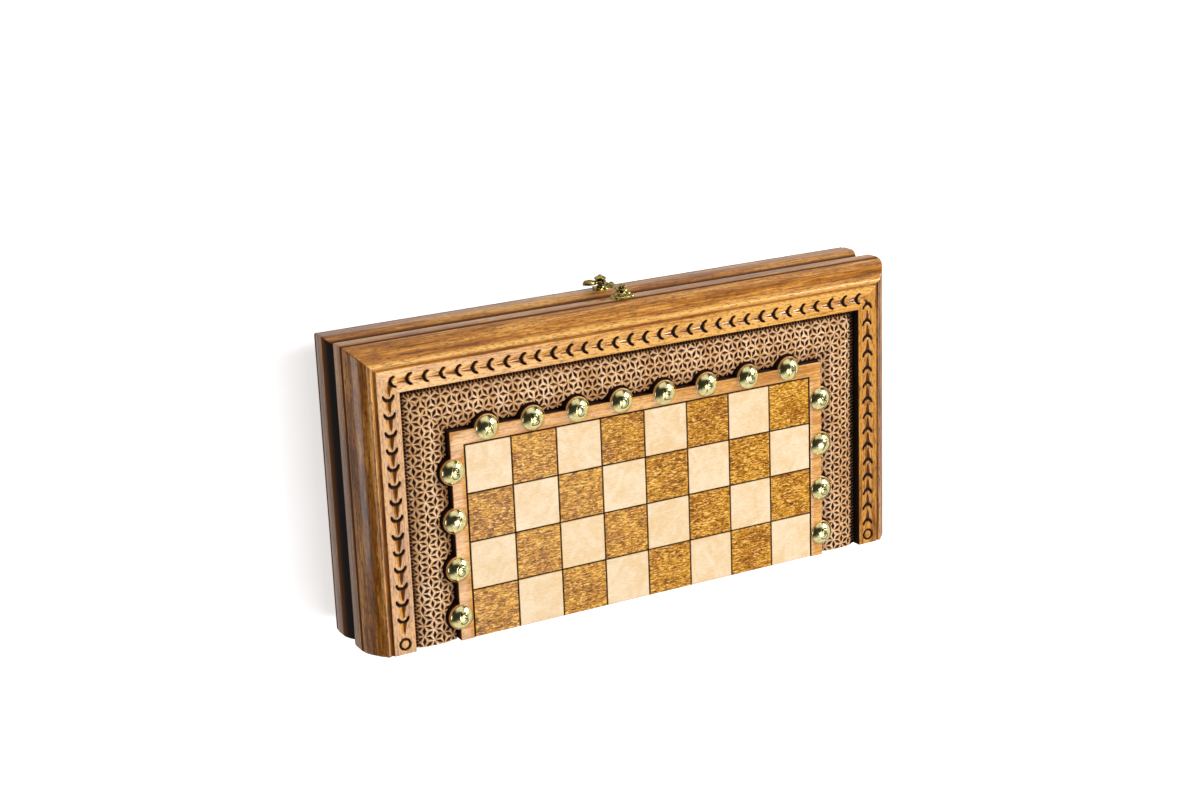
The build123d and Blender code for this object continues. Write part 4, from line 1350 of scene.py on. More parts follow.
@dataclass
class Studs:
    """Domed brass studs round the board, each engraved with its file or rank."""

    rim: float = 0.8
    rim_round: float = 0.15
    height: float = 4.8
    shank: float = 1.5
    shank_length: float = 5.0
    glyph_tall: float = 7.0
    stroke: float = 0.6
    engraved: float = 0.1
    fine_reach: float = 4.6
    fine_rings: int = 28
    rings: int = 9
    turns: int = 96

    def engraving(self, x: Array, y: Array, glyph: str) -> Array:
        """How far inside a stroke each point is, from 0 at its edge to 1 at its middle.

        Args:
            x, y: Places from the stud's centre, with the glyph upright.
            glyph: The character.

        Returns:
            The share of the stroke's depth.
        """
        scale = self.glyph_tall / GLYPH_TALL
        x = x / scale + GLYPH_WIDE / 2
        y = y / scale + GLYPH_TALL / 2
        nearest = np.minimum.reduce([line_distance(x, y, stroke) for stroke in GLYPHS[glyph]])
        return unit(1 - nearest * scale / self.stroke)

    def stud(self, glyph: str, up: int) -> Shape:
        """One stud standing on height zero.

        Args:
            glyph: Its character.
            up: 1 if the character's top is towards +Y, else -1.

        Returns:
            The closed stud.
        """
        radius = BOX.stud_radius
        rise = self.height - self.rim
        sphere = (radius**2 + rise**2) / (2 * rise)
        fine = np.linspace(self.fine_reach, 0.12, self.fine_rings)
        reach = np.append(np.linspace(radius, self.fine_reach, self.rings, endpoint=False), fine)
        dome = self.height - sphere + np.sqrt(sphere**2 - reach**2)
        section = [(0, -self.shank_length), (self.shank, -self.shank_length), (self.shank, 0)]
        section += [(radius - self.rim_round, 0), (radius, self.rim_round), (radius, self.rim * 0.7)]
        section += list(zip(reach.tolist(), dome.tolist())) + [(0, self.height)]
        shape = lathed(section, self.turns)
        x, y, z = shape.points.T
        cut = self.engraving(x * up, y * up, glyph) * (z > self.rim)
        shape.points[:, 2] -= self.engraved * np.sqrt(cut)
        shape.stain = np.clip(cut * 1.6, 0, 0.8)
        return shape

    def dress(self, finishes: Finishes) -> None:
        """Build both halves' studs, the files A to H from +X to -X, the base's turned to face down."""
        for half in Half:
            lid = half is Half.LID
            ranks = "5678" if lid else "4321"
            # A half turn about Y stands a stud on the base's face, its glyph readable from below.
            level, turn = (BOX.height, Matrix()) if lid else (-BOX.height, Matrix.Diagonal((-1, 1, -1, 1)))
            groups = {"file": BOX.stud_places[: BOX.files], "rank": BOX.stud_places[BOX.files :]}
            for group, places in groups.items():
                made = []
                for k, (x, y) in enumerate(places):
                    glyph = "HGFEDCBA"[k] if group == "file" else ranks[k % BOX.ranks]
                    stud = self.stud(glyph, -1 if lid else 1)
                    made.append(stud.moved(Matrix.Translation((x, y, level)) @ turn))
                node = f"{half.value}_{group}_studs"
                whole = made[0].joined(*made[1:])
                whole.build("engraved", node, finishes.stud, half.value, "stud_brass", 40.0)


def eased(piece: Object, width: float) -> None:
    """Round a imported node's edges with modifiers.

    Args:
        piece: The node's object.
        width: Width of the rounding, in millimetres.
    """
    weld = piece.modifiers.new("weld", "WELD")
    weld.merge_threshold = 1e-6
    bevel = piece.modifiers.new("ease", "BEVEL")
    bevel.width = width * MM
    bevel.segments = 2
    bevel.limit_method = "ANGLE"
    bevel.angle_limit = math.radians(40)


def finished(piece: Object, finish: Material, ease: float = 0.0) -> None:
    """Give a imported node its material, in every slot that it has, and round its edges.

    Args:
        piece: The node's object.
        finish: Its material.
        ease: Width of the rounding in millimetres, or 0 for none.
    """
    if not piece.material_slots:
        piece.data.materials.append(finish)
    for slot in piece.material_slots:
        slot.link = "OBJECT"
        slot.material = finish
    if ease:
        eased(piece, ease)


@dataclass
class Board:
    """The border with a lobe under each stud, and the squares let into it."""

    grid_line: float = 1.1
    veneer: float = 1.0
    lobe_steps: int = 18
    ease: float = 0.35
    bevel: float = 0.14
    wall_dark: float = 0.96
    brim_dark: float = 0.3

    def plan(self) -> tuple[Array, Array]:
        """Stations round the border, from the hinge at +X to the hinge at -X.

        Returns:
            Places on the border's outer edge, and beside them on the recess's edge.
        """
        edge = BOX.field + BOX.border
        inner = BOX.field + self.grid_line / 2
        centre = BOX.field + BOX.stud_offset
        sweep = math.acos((edge - centre) / BOX.lobe)
        turns = np.linspace(-sweep, sweep, self.lobe_steps)
        lobe = [(BOX.lobe * math.sin(a), centre + BOX.lobe * math.cos(a)) for a in turns]
        run = [(0.0, edge), (0.3, edge)]
        for rank in range(BOX.ranks):
            run += [((rank + 0.5) * BOX.square + along, out) for along, out in lobe]
        side = [((out, -along), (inner, -min(along, inner))) for along, out in run]
        clasp = [((edge, -edge), (inner, -inner))]
        for file in reversed(range(BOX.files)):
            middle = (file - (BOX.files - 1) / 2) * BOX.square
            clasp += [((middle - along, -out), (middle - along, -inner)) for along, out in lobe]
        clasp.append(((-edge, -edge), (-inner, -inner)))
        mirrored = [((-ox, oy), (-ix, iy)) for (ox, oy), (ix, iy) in reversed(side)]
        stations = side + clasp + mirrored
        return np.array([s[0] for s in stations]), np.array([s[1] for s in stations])

    def border(self) -> Shape:
        """The border and the recess's floor, as two shells."""
        outer, inner = self.plan()
        along = np.gradient(outer, axis=0)
        inward = np.stack([along[:, 1], -along[:, 0]], 1) / np.hypot(*along.T)[:, None]
        inward *= np.sign((inward * (inner - outer)).sum(1))[:, None]
        back = (outer - inner) / np.hypot(*(outer - inner).T)[:, None]
        top, floor = BOX.height, BOX.ground
        section = [
            (outer, floor, self.wall_dark),
            (outer, top - 1.5, self.wall_dark),
            (outer, top - 0.6, self.brim_dark),
            (outer + inward * 0.08, top - 0.14, 0.0),
            (outer + inward * self.ease, top, 0.0),
            (inner + back * 0.3, top, 0.0),
            (inner + back * 0.06, top - 0.06, 0.5),
            (inner, top - 0.3, 0.9),
            (inner, floor, self.wall_dark),
        ]
        rows = np.array([[(*place, z) for place in places] for places, z, _ in section])
        stain = np.array([[dark] * len(outer) for _, _, dark in section])
        stain[:, [0, -1]] = 0.0
        reach = BOX.field + self.grid_line / 2 + 0.05
        bed = [(-reach, floor, 0), (reach, floor, 0)]
        bed += [(x, top - self.veneer, self.wall_dark) for x in (reach, -reach)]
        bed_rows = np.array([[(x, y, z) for y in (-reach, -0.3, 0.0)] for x, z, _ in bed])
        bed_stain = np.array([[dark, dark, 0.0] for _, _, dark in bed])
        return swept(rows, stain).joined(swept(bed_rows, bed_stain))

    def dress(self, nodes: dict[str, Object], finishes: Finishes) -> None:
        """Build the borders and finish the squares of both halves."""
        border = self.border()
        for half in Half:
            name = half.value
            placed = border.for_half(half)
            placed.build("lobed", f"{name}_board_panel", finishes.border, name, "border_walnut")
            finished(nodes[f"{name}_light_squares"], finishes.maple, self.bevel)
            finished(nodes[f"{name}_dark_squares"], finishes.stained_beech, self.bevel)


def blend_reach(first: Array, second: Array, soft: float) -> Array:
    """Reach into two outlines together, with a soft fillet where they meet."""
    share = unit(0.5 + 0.5 * (first - second) / soft)
    return second + (first - second) * share + soft * share * (1 - share)


@dataclass
class Latch:
    """The cast hook latch on the clasp side's flanges.

    Its shapes are drawn face up, X along the box and Y up from the base to the lid.
    """

    level: float = 14.9
    step: float = 0.28
    plate: tuple[float, float, float] = (10.0, 9.2, 1.5)
    lower: tuple[float, float, float] = (15.0, 9.2, 2.0)
    upper: tuple[float, float, float] = (10.6, 6.8, 4.0)
    corner: float = 2.2
    petal: float = 2.9
    hook_low: float = 4.05
    hook_high: float = 6.2
    hub: float = 4.0
    arm_slim: float = 1.25
    arm_bead: float = 1.5
    jaw_middle: float = 3.3
    jaw_half: float = 1.0
    mouth: float = math.radians(55)
    leaf_start: float = 2.8
    leaf_length: float = 10.4
    leaf_breadth: float = 7.6
    leaf_rib: float = 1.0
    post: float = 1.6
    pivot_knob: float = 4.0
    keeper_knob: float = 3.1
    petals: int = 6
    knob_low: float = 6.4
    pivot_top: float = 9.8
    keeper_top: float = 9.4
    overlap: float = 0.4
    nail_head: float = 0.9
    nail_high: float = 0.6
    nail_corner: float = 1.5
    nail_shank: float = 0.7
    nail_shank_depth: float = 1.0
    turns: int = 48
    waist: float = 0.7
    bead_reach: float = 2.0
    arm_blend: float = 1.2
    jaw_blend: float = 0.6
    leaf_blend: float = 0.8
    lower_ease: float = 1.8
    upper_ease: float = 1.5
    flute_depth: float = 0.13
    flute_start: float = 0.36
    flute_fade: float = 0.3

    def quatrefoil(self, x: Array, y: Array) -> Array:
        """Reach into the base plate's outline of four petals."""
        a = np.abs(x) - (self.plate[0] / 2 - self.petal)
        b = np.abs(y) - (self.plate[1] / 2 - self.petal)
        round_one = self.petal - np.hypot(a, b)
        across = self.plate[0] / 2 - self.waist - np.abs(x)
        up = self.plate[1] / 2 - self.waist - np.abs(y)
        return np.maximum(round_one, np.minimum(across, up))

    def rounded(self, x: Array, y: Array, length: float, height: float) -> Array:
        """Reach into a rectangle with round corners."""
        a = np.abs(x) - length / 2 + self.corner
        b = np.abs(y) - height / 2 + self.corner
        outside = np.hypot(np.maximum(a, 0), np.maximum(b, 0))
        return self.corner - outside - np.minimum(np.maximum(a, b), 0)

    def leaf(self, x: Array, y: Array) -> Array:
        """Reach into the thumb leaf's outline of two arcs."""
        half, rise = self.leaf_length / 2, self.leaf_breadth / 2
        radius = (half**2 + rise**2) / (2 * rise)
        along = x - self.leaf_start - half
        return np.minimum(
            radius - np.hypot(along, y + radius - rise), radius - np.hypot(along, y - radius + rise)
        )

    def hook(self, x: Array, y: Array) -> Array:
        """Reach into the hook's outline: hub, beaded arm, open jaw and leaf."""
        end = 2 * self.level
        arm_end = end - self.jaw_middle
        wide = self.arm_slim + self.arm_bead * np.exp(-(((y - 0.5 * end) / self.bead_reach) ** 2))
        arm = np.minimum(wide - np.abs(x), np.minimum(y + 1, arm_end - y))
        ring = self.jaw_half - np.abs(np.hypot(x, y - end) - self.jaw_middle)
        lip_x = -self.jaw_middle * math.cos(self.mouth)
        lip_y = self.jaw_middle * math.sin(self.mouth)
        lip = self.jaw_half - np.hypot(x - lip_x, np.abs(y - end) - lip_y)
        ring = np.where(np.abs(np.arctan2(y - end, -x)) < self.mouth, lip, ring)
        whole = blend_reach(self.hub - np.hypot(x, y), arm, self.arm_blend)
        whole = blend_reach(whole, ring, self.jaw_blend)
        return blend_reach(whole, self.leaf(x, y), self.leaf_blend)

    def hook_relief(self, x: Array, y: Array) -> Array:
        """The leaf's rib and veins, and the bead round the arm."""
        along = x - self.leaf_start
        inside = unit(self.leaf(x, y)) * unit((along - 2.2) / 1.5)
        rib = 0.35 + 0.65 * np.exp(-((y / 0.8) ** 2)) + 0.3 * np.cos((along - np.abs(y) * 1.2) * 3.4)
        bead = 1.5 * np.exp(-(((y - self.level) / 1.5) ** 2) - (x / 2.2) ** 2)
        return self.leaf_rib * inside * np.clip(rib, -0.2, 1) + bead

    def knob(self, radius: float, low: float, high: float) -> Outline:
        """Half section of a domed knob with a bead on its top."""
        rise = high - low
        share = [(0.62, 0.0), (0.9, 0.06), (1.0, 0.2), (0.98, 0.34), (0.88, 0.5), (0.7, 0.64), (0.48, 0.74)]
        share += [(0.34, 0.76), (0.36, 0.84), (0.3, 0.94), (0.16, 0.99), (0.0, 1.0)]
        return [(radius * r, low + rise * h) for r, h in share]

    def turned_post(self, section: Outline, knob_low: float) -> Shape:
        """A lathed post whose knob is fluted into petals."""
        shape = lathed(section, self.turns)
        x, y, z = shape.points.T
        angle = np.arctan2(y, x)
        widest = max(r for r, _ in section)
        share = unit((np.hypot(x, y) / widest - self.flute_start) / self.flute_fade)
        share = share * (z > knob_low - 1e-6)
        shrink = 1 - self.flute_depth * share * (0.5 + 0.5 * np.cos(self.petals * angle)) ** 2
        shape.points[:, 0] = x * shrink
        shape.points[:, 1] = y * shrink
        return shape

    def nail(self, x: float, y: float, low: float) -> Shape:
        """A round nail head standing on a plate."""
        angles = [math.radians(a) for a in (0, 18, 36, 54, 72)]
        deep = low - self.nail_shank_depth
        section = [(0, deep), (self.nail_shank, deep), (self.nail_shank, low)]
        section += [(self.nail_head * math.cos(a), low + self.nail_high * math.sin(a)) for a in angles]
        section.append((0, low + self.nail_high))
        return lathed(section, 20).moved(Matrix.Translation((x, y, 0)))

    def placed(self, shape: Shape, level: float) -> Shape:
        """Stand a shape that was drawn face up onto the clasp side's flange."""
        surface = BOX.inner + BOX.face + BOX.flange
        turn = Matrix(((1, 0, 0, 0), (0, 0, -1, -surface), (0, 1, 0, level), (0, 0, 0, 1)))
        return shape.moved(turn).outward()

    def block(self, size: tuple[float, float, float], low: float, ease: float) -> Shape:
        """A rectangular block with round corners.

        Args:
            size: Its length, its height on the box and the level of its face.
            low: The level of its underside.
            ease: Width of the rounding of its face.

        Returns:
            The closed block.
        """
        length, height, high = size
        box = (-length / 2, length / 2, -height / 2, height / 2)
        return cushion(lambda x, y: self.rounded(x, y, length, height), box, self.step, low, high, ease)

    def pivot(self) -> Shape:
        """The rivet that the hook turns on, a turned shoulder under a petalled knob."""
        low = self.plate[2]
        section = [(0, low - 1), (2.9, low - 1), (3.0, low), (2.7, 2.2), (2.0, 2.6), (1.9, 3.1), (2.6, 3.6)]
        section += [(2.6, 4.0), (self.post, 4.0), (self.post, self.knob_low)]
        section += self.knob(self.pivot_knob, self.knob_low, self.pivot_top)
        return self.turned_post(section, self.knob_low)

    def keeper(self) -> Shape:
        """Two steps and the neck that the jaw closes round, under a petalled knob."""
        neck = [(0, 3.0), (2.9, 3.0), (2.9, 3.9), (2.2, 4.3), (2.0, 4.8), (2.0, self.knob_low)]
        neck += self.knob(self.keeper_knob, self.knob_low, self.keeper_top)
        lower = self.block(self.lower, 0, self.lower_ease)
        upper = self.block(self.upper, self.lower[2] - self.overlap, self.upper_ease)
        return lower.joined(upper, self.turned_post(neck, self.knob_low))

    def dress(self, finishes: Finishes) -> None:
        """Build the latch's six pieces."""
        wide, tall, thick = self.plate
        box = (-wide / 2, wide / 2, -tall / 2, tall / 2)
        plate = cushion(self.quatrefoil, box, self.step, 0, thick, 1.3)
        reach = (-4.6, self.leaf_start + self.leaf_length, -4.4, 2 * self.level + 4.5)
        hook = cushion(self.hook, reach, self.step, self.hook_low, self.hook_high, 1.3, self.hook_relief)
        across, up = wide / 2 - self.nail_corner, tall / 2 - self.nail_corner
        end = self.lower[0] / 2 - self.nail_corner
        corners = [self.nail(sx * across, sy * up, thick - 0.35) for sx in (-1, 1) for sy in (-1, 1)]
        ends = [self.nail(s * end, 0, self.lower[2] - 0.45) for s in (-1, 1)]
        for part, shape, level, body in (
            ("plate", plate, -self.level, "base"),
            ("pivot", self.pivot(), -self.level, "base"),
            ("hook", hook, -self.level, "latch_hook"),
            ("keeper", self.keeper(), self.level, "lid"),
            ("plate_nails", corners[0].joined(*corners[1:]), -self.level, "base"),
            ("keeper_nails", ends[0].joined(ends[1]), self.level, "lid"),
        ):
            slot = "fastener_brass" if part.endswith("nails") else "latch_brass"
            self.placed(shape, level).build("cast", f"latch_{part}", finishes.latch, body, slot, 40.0)


@dataclass
class Hinges:
    """The two butt hinges, the plain rails that carry them, and their slotted screws."""

    spacing: float = 200.0
    spread: float = 15.0
    setback: float = 6.2
    head: float = 2.2
    slot: float = 0.32
    slot_depth: float = 0.6
    thickness: float = 1.0
    bevel: float = 0.15

    def screw(self, turn: float) -> Shape:
        """One screw head, its slot at an angle."""

        def slot(x: Array, y: Array) -> Array:
            """Depth of the slot at a place of the head."""
            off = np.abs(x * math.sin(turn) - y * math.cos(turn))
            return -self.slot_depth * unit((self.slot - off) * 6)

        box = (-self.head, self.head) * 2
        return cushion(lambda x, y: self.head - np.hypot(x, y), box, 0.16, -self.thickness, 0.0, 0.2, slot)

    def screws(self) -> Shape:
        """The four screw heads of the lid's leaves, each stopped at its own turn."""
        made = []
        for k, (hinge, side) in enumerate(((-1, -1), (-1, 1), (1, -1), (1, 1))):
            head = self.screw(math.radians(25 + 70 * float(hashed(np.array(k), 4.0))))
            place = (self.spacing / 2 * hinge + side * self.spread, -self.setback, BOX.seam)
            made.append(head.moved(Matrix.Translation(place) @ Matrix.Rotation(math.pi, 4, "X")))
        return made[0].joined(*made[1:]).outward()

    def dress(self, nodes: dict[str, Object], finishes: Finishes) -> None:
        """Build the screws and finish the leaves, pins and rails."""
        screws = self.screws()
        for half in Half:
            name = half.value
            node = f"{name}_hinge_screws"
            screws.for_half(half).build("slotted", node, finishes.steel, name, "fastener_brass", 30.0)
            finished(nodes[f"{name}_hinge_rail"], finishes.frame_x)
            for side in ("left", "right"):
                finished(nodes[f"{side}_hinge_{name}_leaf"], finishes.hinge, self.bevel)
        for side in ("left", "right"):
            finished(nodes[f"{side}_hinge_pin"], finishes.steel)


@dataclass
class Man:
    """One kind of chessman, turned about Z with its foot at height zero."""

    kind: str
    base: float
    height: float
    neck: float
    head: float
    turns: int = 40

    def foot(self) -> Outline:
        """Half section of the foot, from the middle of its underside to the top of its rim."""
        b = self.base
        return [(0, 0), (0.93 * b, 0), (b, 0.5), (b, 1.7), (0.96 * b, 2.3), (0.86 * b, 2.5)]

    def shaft(self, shoulder: float) -> Outline:
        """Half section of the foot, the waist and the collar up to the shoulder."""
        b, n = self.base, self.neck
        waist = shoulder - 1.6
        section = self.foot() + arc_points((0.84 * b, 2.6), (0.64 * b, 5.9), 0.1 * b, 6)
        section += [(0.6 * b, 6.1), (0.66 * b, 6.5), (0.66 * b, 7.1), (0.58 * b, 7.4)]
        section += arc_points((0.56 * b, 7.5), (n, waist - 0.4), -0.12 * b, 12)
        section += [(1.35 * n, waist - 0.1), (1.6 * n, waist + 0.2), (1.6 * n, waist + 0.7)]
        section += [(1.3 * n, waist + 1.0), (1.15 * n, waist + 1.1), (1.3 * n, waist + 1.3)]
        return section + [(1.2 * n, shoulder), (n, shoulder + 0.1)]

    def ball(self, radius: float, centre: float, low: float, steps: int) -> Outline:
        """Half section of a ball from an angle below its middle, in degrees, to its top."""
        angles = [math.radians(-low + (90 + low) * k / steps) for k in range(steps)]
        below = [(radius * math.cos(a), centre + radius * math.sin(a)) for a in angles]
        return below + [(0, centre + radius)]

    def pawn(self) -> Shape:
        """A ball on a turned shaft."""
        centre = self.height - self.head
        low = math.degrees(math.acos(self.neck / self.head))
        shoulder = centre - math.sqrt(self.head**2 - self.neck**2)
        return lathed(self.shaft(shoulder) + self.ball(self.head, centre, low, 12), self.turns)

    def rook(self) -> Shape:
        """A hollow tower with six merlons."""
        top, r = self.height, self.head
        shoulder = top - 10.4
        section = self.shaft(shoulder) + [(0.86 * r, shoulder + 1.6), (0.9 * r, shoulder + 2.0)]
        section += [(0.84 * r, shoulder + 2.4), (0.84 * r, top - 4.6), (0.98 * r, top - 3.6), (r, top - 3.2)]
        section += [(r, top - 2.25), (r, top - 2.2), (r, top), (0.72 * r, top), (0.72 * r, top - 2.2)]
        section += [(0.7 * r, top - 4.0), (0, top - 4.0)]
        shape = lathed(section, 72)
        x, y, z = shape.points.T
        gap = np.mod(np.degrees(np.arctan2(y, x)) + 360, 60) < 22
        shape.points[:, 2] = np.where(gap & (z > top - 2.2), top - 2.2, z)
        return shape

    def bishop(self) -> Shape:
        """A mitre with a slanted slot and a small ball."""
        top, r, ball = self.height, self.head, 1.5
        shoulder = top - 3.6 * r
        rise = top - 1.8 * ball - shoulder
        share = np.linspace(0, 1, 26)
        swell = self.neck + (r - self.neck) * np.sin(unit(share / 0.42) * math.pi / 2)
        narrowing = 0.6 * ball + (r - 0.6 * ball) * np.cos((share - 0.42) / 0.58 * math.pi / 2)
        swell = np.where(share > 0.42, narrowing, swell)
        level = shoulder + 0.2 + share * (rise - 0.2)
        section = self.shaft(shoulder) + list(zip(swell.tolist(), level.tolist()))
        shape = lathed(section + self.ball(ball, top - ball, 50, 8), 56)
        x, _, z = shape.points.T
        plane = (z - (shoulder + 0.55 * rise)) * math.cos(0.9) - x * math.sin(0.9) + 1.6
        cut = unit(1 - np.abs(plane) / 0.75) * (x > 0.3) * (z > shoulder + 1)
        shape.points[:, :2] *= (1 - 0.42 * cut)[:, None]
        shape.stain = unit(cut * 1.5)
        return shape

    def crowned(self, top: float, rim: float, points: int) -> Outline:
        """Half section of a flared crown up to its rim, then in to its middle."""
        r, n = self.head, self.neck
        shoulder = rim - 2.1 * r
        section = self.shaft(shoulder)
        section += [(1.2 * n, shoulder + 0.5), (1.25 * n, shoulder + 1.0), (n, shoulder + 1.3)]
        section += arc_points((0.98 * n, shoulder + 1.4), (0.94 * r, rim - 0.7), -0.1 * r, points)
        return section + [(r, rim - 0.4), (r, rim), (0.94 * r, rim + 0.1 * min(1.0, top - rim))]

    def queen(self) -> Shape:
        """A flared crown with a scalloped rim and a ball."""
        ball = 1.9
        rim = self.height - 2.6 * ball
        section = self.crowned(self.height, rim, 14) + [(0.8 * self.head, rim - 0.5)]
        section += [(0.5 * self.head, rim + 0.2), (0.6 * ball, self.height - 1.8 * ball)]
        shape = lathed(section + self.ball(ball, self.height - ball, 50, 8), 72)
        x, y, z = shape.points.T
        near = unit(1 - np.abs(z - rim) / 1.2) * (np.hypot(x, y) > 0.7 * self.head)
        shape.points[:, 2] -= near * 1.1 * (0.5 - 0.5 * np.cos(9 * np.arctan2(y, x))) ** 2
        return shape

    def king(self) -> Shape:
        """A flared crown with a domed top and a plain cross."""
        cross = 8.0
        top = self.height - cross
        rim = top - 0.3 * self.head
        section = self.crowned(top, rim, 14)
        section += [(0.8 * self.head, rim + 0.35), (0.5 * self.head, top - 0.4), (0.25 * self.head, top)]
        section += [(0.2 * self.head, top + 0.5), (0, top + 0.6)]
        middle = self.height - 0.42 * cross

        def arms(x: Array, z: Array) -> Array:
            """Reach into the cross, its arms wider at their ends."""
            up, across = np.abs(z - middle), np.abs(x)
            post = np.minimum(0.75 + 0.2 * up - across, np.minimum(self.height - z, z - top + 0.5))
            beam = np.minimum(0.75 + 0.25 * across - up, 2.65 - across)
            return np.maximum(post, beam)

        made = cushion(arms, (-2.7, 2.7, top - 0.5, self.height), 0.22, -0.9, 0.9, 0.45, both=True)
        upright = made.moved(Matrix.Rotation(math.pi / 2, 4, "X")).outward()
        return lathed(section, self.turns).joined(upright)

    def knight(self) -> Shape:
        """A horse's head, carved on both faces, on a turned foot."""
        corners = [(-6.2, 4), (-7.6, 12), (-8.2, 19), (-8.1, 26), (-6.9, 32), (-5.2, 37), (-4.0, 40.2)]
        corners += [(-2.6, 43.9), (-1.2, 41.2), (0.8, 39.6), (3.2, 37.4), (5.8, 34), (8.2, 30.8), (8.8, 28.4)]
        corners += [(8.2, 26.4), (6.6, 25.3), (5.0, 25.9), (3.2, 25.2), (1.9, 22.8), (3.4, 19.2), (5.4, 15.4)]
        corners += [(6.2, 10.5), (5.9, 4)]
        corners.append(corners[0])

        def head(x: Array, z: Array) -> Array:
            """Reach into the horse's outline."""
            nearest = line_distance(x, z, corners)
            inside = np.zeros(x.shape, bool)
            for (ax, az), (bx, bz) in zip(corners, corners[1:]):
                if az != bz:
                    inside ^= ((az > z) != (bz > z)) & (x < ax + (z - az) * (bx - ax) / (bz - az))
            return np.where(inside, nearest, -nearest)

        def carving(x: Array, z: Array) -> Array:
            """Mane, cheek, eye, nostril and mouth."""
            mane = unit((-3.0 - 0.10 * (z - 30) - x) / 1.0) * (z > 9)
            locks = 0.45 * np.cos((z + 0.9 * x) * 1.7) * mane
            seam = -0.5 * np.exp(-(((x + 3.2 + 0.10 * (z - 30)) / 0.5) ** 2)) * (z > 9)
            cheek = 0.7 * unit(1 - np.hypot(x - 1.8, z - 30) / 4.2) ** 0.5
            eye = 0.7 * np.exp(-((np.hypot(x - 2.6, z - 35.2) / 0.55) ** 2))
            brow = -0.6 * np.exp(-(((np.hypot(x - 2.6, z - 35.2) - 1.15) / 0.35) ** 2))
            nostril = -0.8 * np.exp(-((np.hypot(x - 7.2, z - 29.6) / 0.6) ** 2))
            mouth = -0.6 * np.exp(-(((z - 27.3 - 0.15 * (x - 6)) / 0.35) ** 2)) * (x > 4.6)
            return locks + seam + cheek + eye + brow + nostril + mouth

        made = cushion(head, (-8.6, 9.0, 3.8, 44.0), 0.4, -3.7, 3.7, 2.6, carving, both=True)
        b = self.base
        foot = self.foot() + arc_points((0.85 * b, 2.6), (0.78 * b, 5.6), 0.07 * b, 6)
        foot += [(0.7 * b, 6.1), (0, 6.24)]
        return lathed(foot, self.turns).joined(made.moved(Matrix.Rotation(math.pi / 2, 4, "X")).outward())

    def shape(self) -> Shape:
        """The man, by its kind."""
        return getattr(self, self.kind)()


@dataclass
class Chessmen:
    """Both sides' men, lying in their berths: the light ones in the lid."""

    pitch: float = 43.0
    well_edge: float = 103.0
    pawn_head: float = 57.0
    bed: float = 2.1
    men: tuple[Man, ...] = (
        Man("king", 11.0, 64.0, 3.4, 5.8),
        Man("queen", 10.6, 57.0, 3.2, 5.6),
        Man("bishop", 9.8, 49.0, 2.8, 4.6),
        Man("knight", 9.8, 44.0, 6.0, 9.8),
        Man("rook", 9.6, 38.0, 4.2, 6.4),
        Man("pawn", 8.8, 35.0, 2.4, 4.8),
    )
    officers: tuple[str, ...] = ("rook", "knight", "bishop", "queen", "king", "bishop", "knight", "rook")

    def lying(self, man: Man) -> Shape:
        """Every man of a kind in the lid, laid down in its berth."""
        upright = man.shape()
        made = []
        for k, kind in enumerate(self.officers):
            x = (k - (len(self.officers) - 1) / 2) * self.pitch
            if man.kind == "pawn":
                foot, heading = -self.pawn_head + man.height, -1
            elif man.kind == kind:
                foot, heading = -self.well_edge - man.height, 1
            else:
                continue
            place = Matrix.Translation((x, foot, self.bed + man.base))
            made.append(upright.moved(place @ Matrix.Rotation(-heading * math.pi / 2, 4, "X")))
        return made[0].joined(*made[1:])

    def dress(self, finishes: Finishes) -> None:
        """Build the men of both sides."""
        for man in self.men:
            group = self.lying(man)
            plural = man.kind if man.kind in ("king", "queen") else man.kind + "s"
            for half, side, finish in (
                (Half.LID, "light", finishes.light_men),
                (Half.BASE, "dark", finishes.dark_men),
            ):
                placed = group.for_half(half)
                placed.build("turned", f"{side}_{plural}", finish, half.value, f"{side}_boxwood", 38.0)


@dataclass
class Nests:
    """The flocked trays that hold the men."""

    bevel: float = 0.5

    def dress(self, nodes: dict[str, Object], finishes: Finishes) -> None:
        """Finish both trays."""
        for half in Half:
            finished(nodes[f"{half.value}_nest"], finishes.flock, self.bevel)


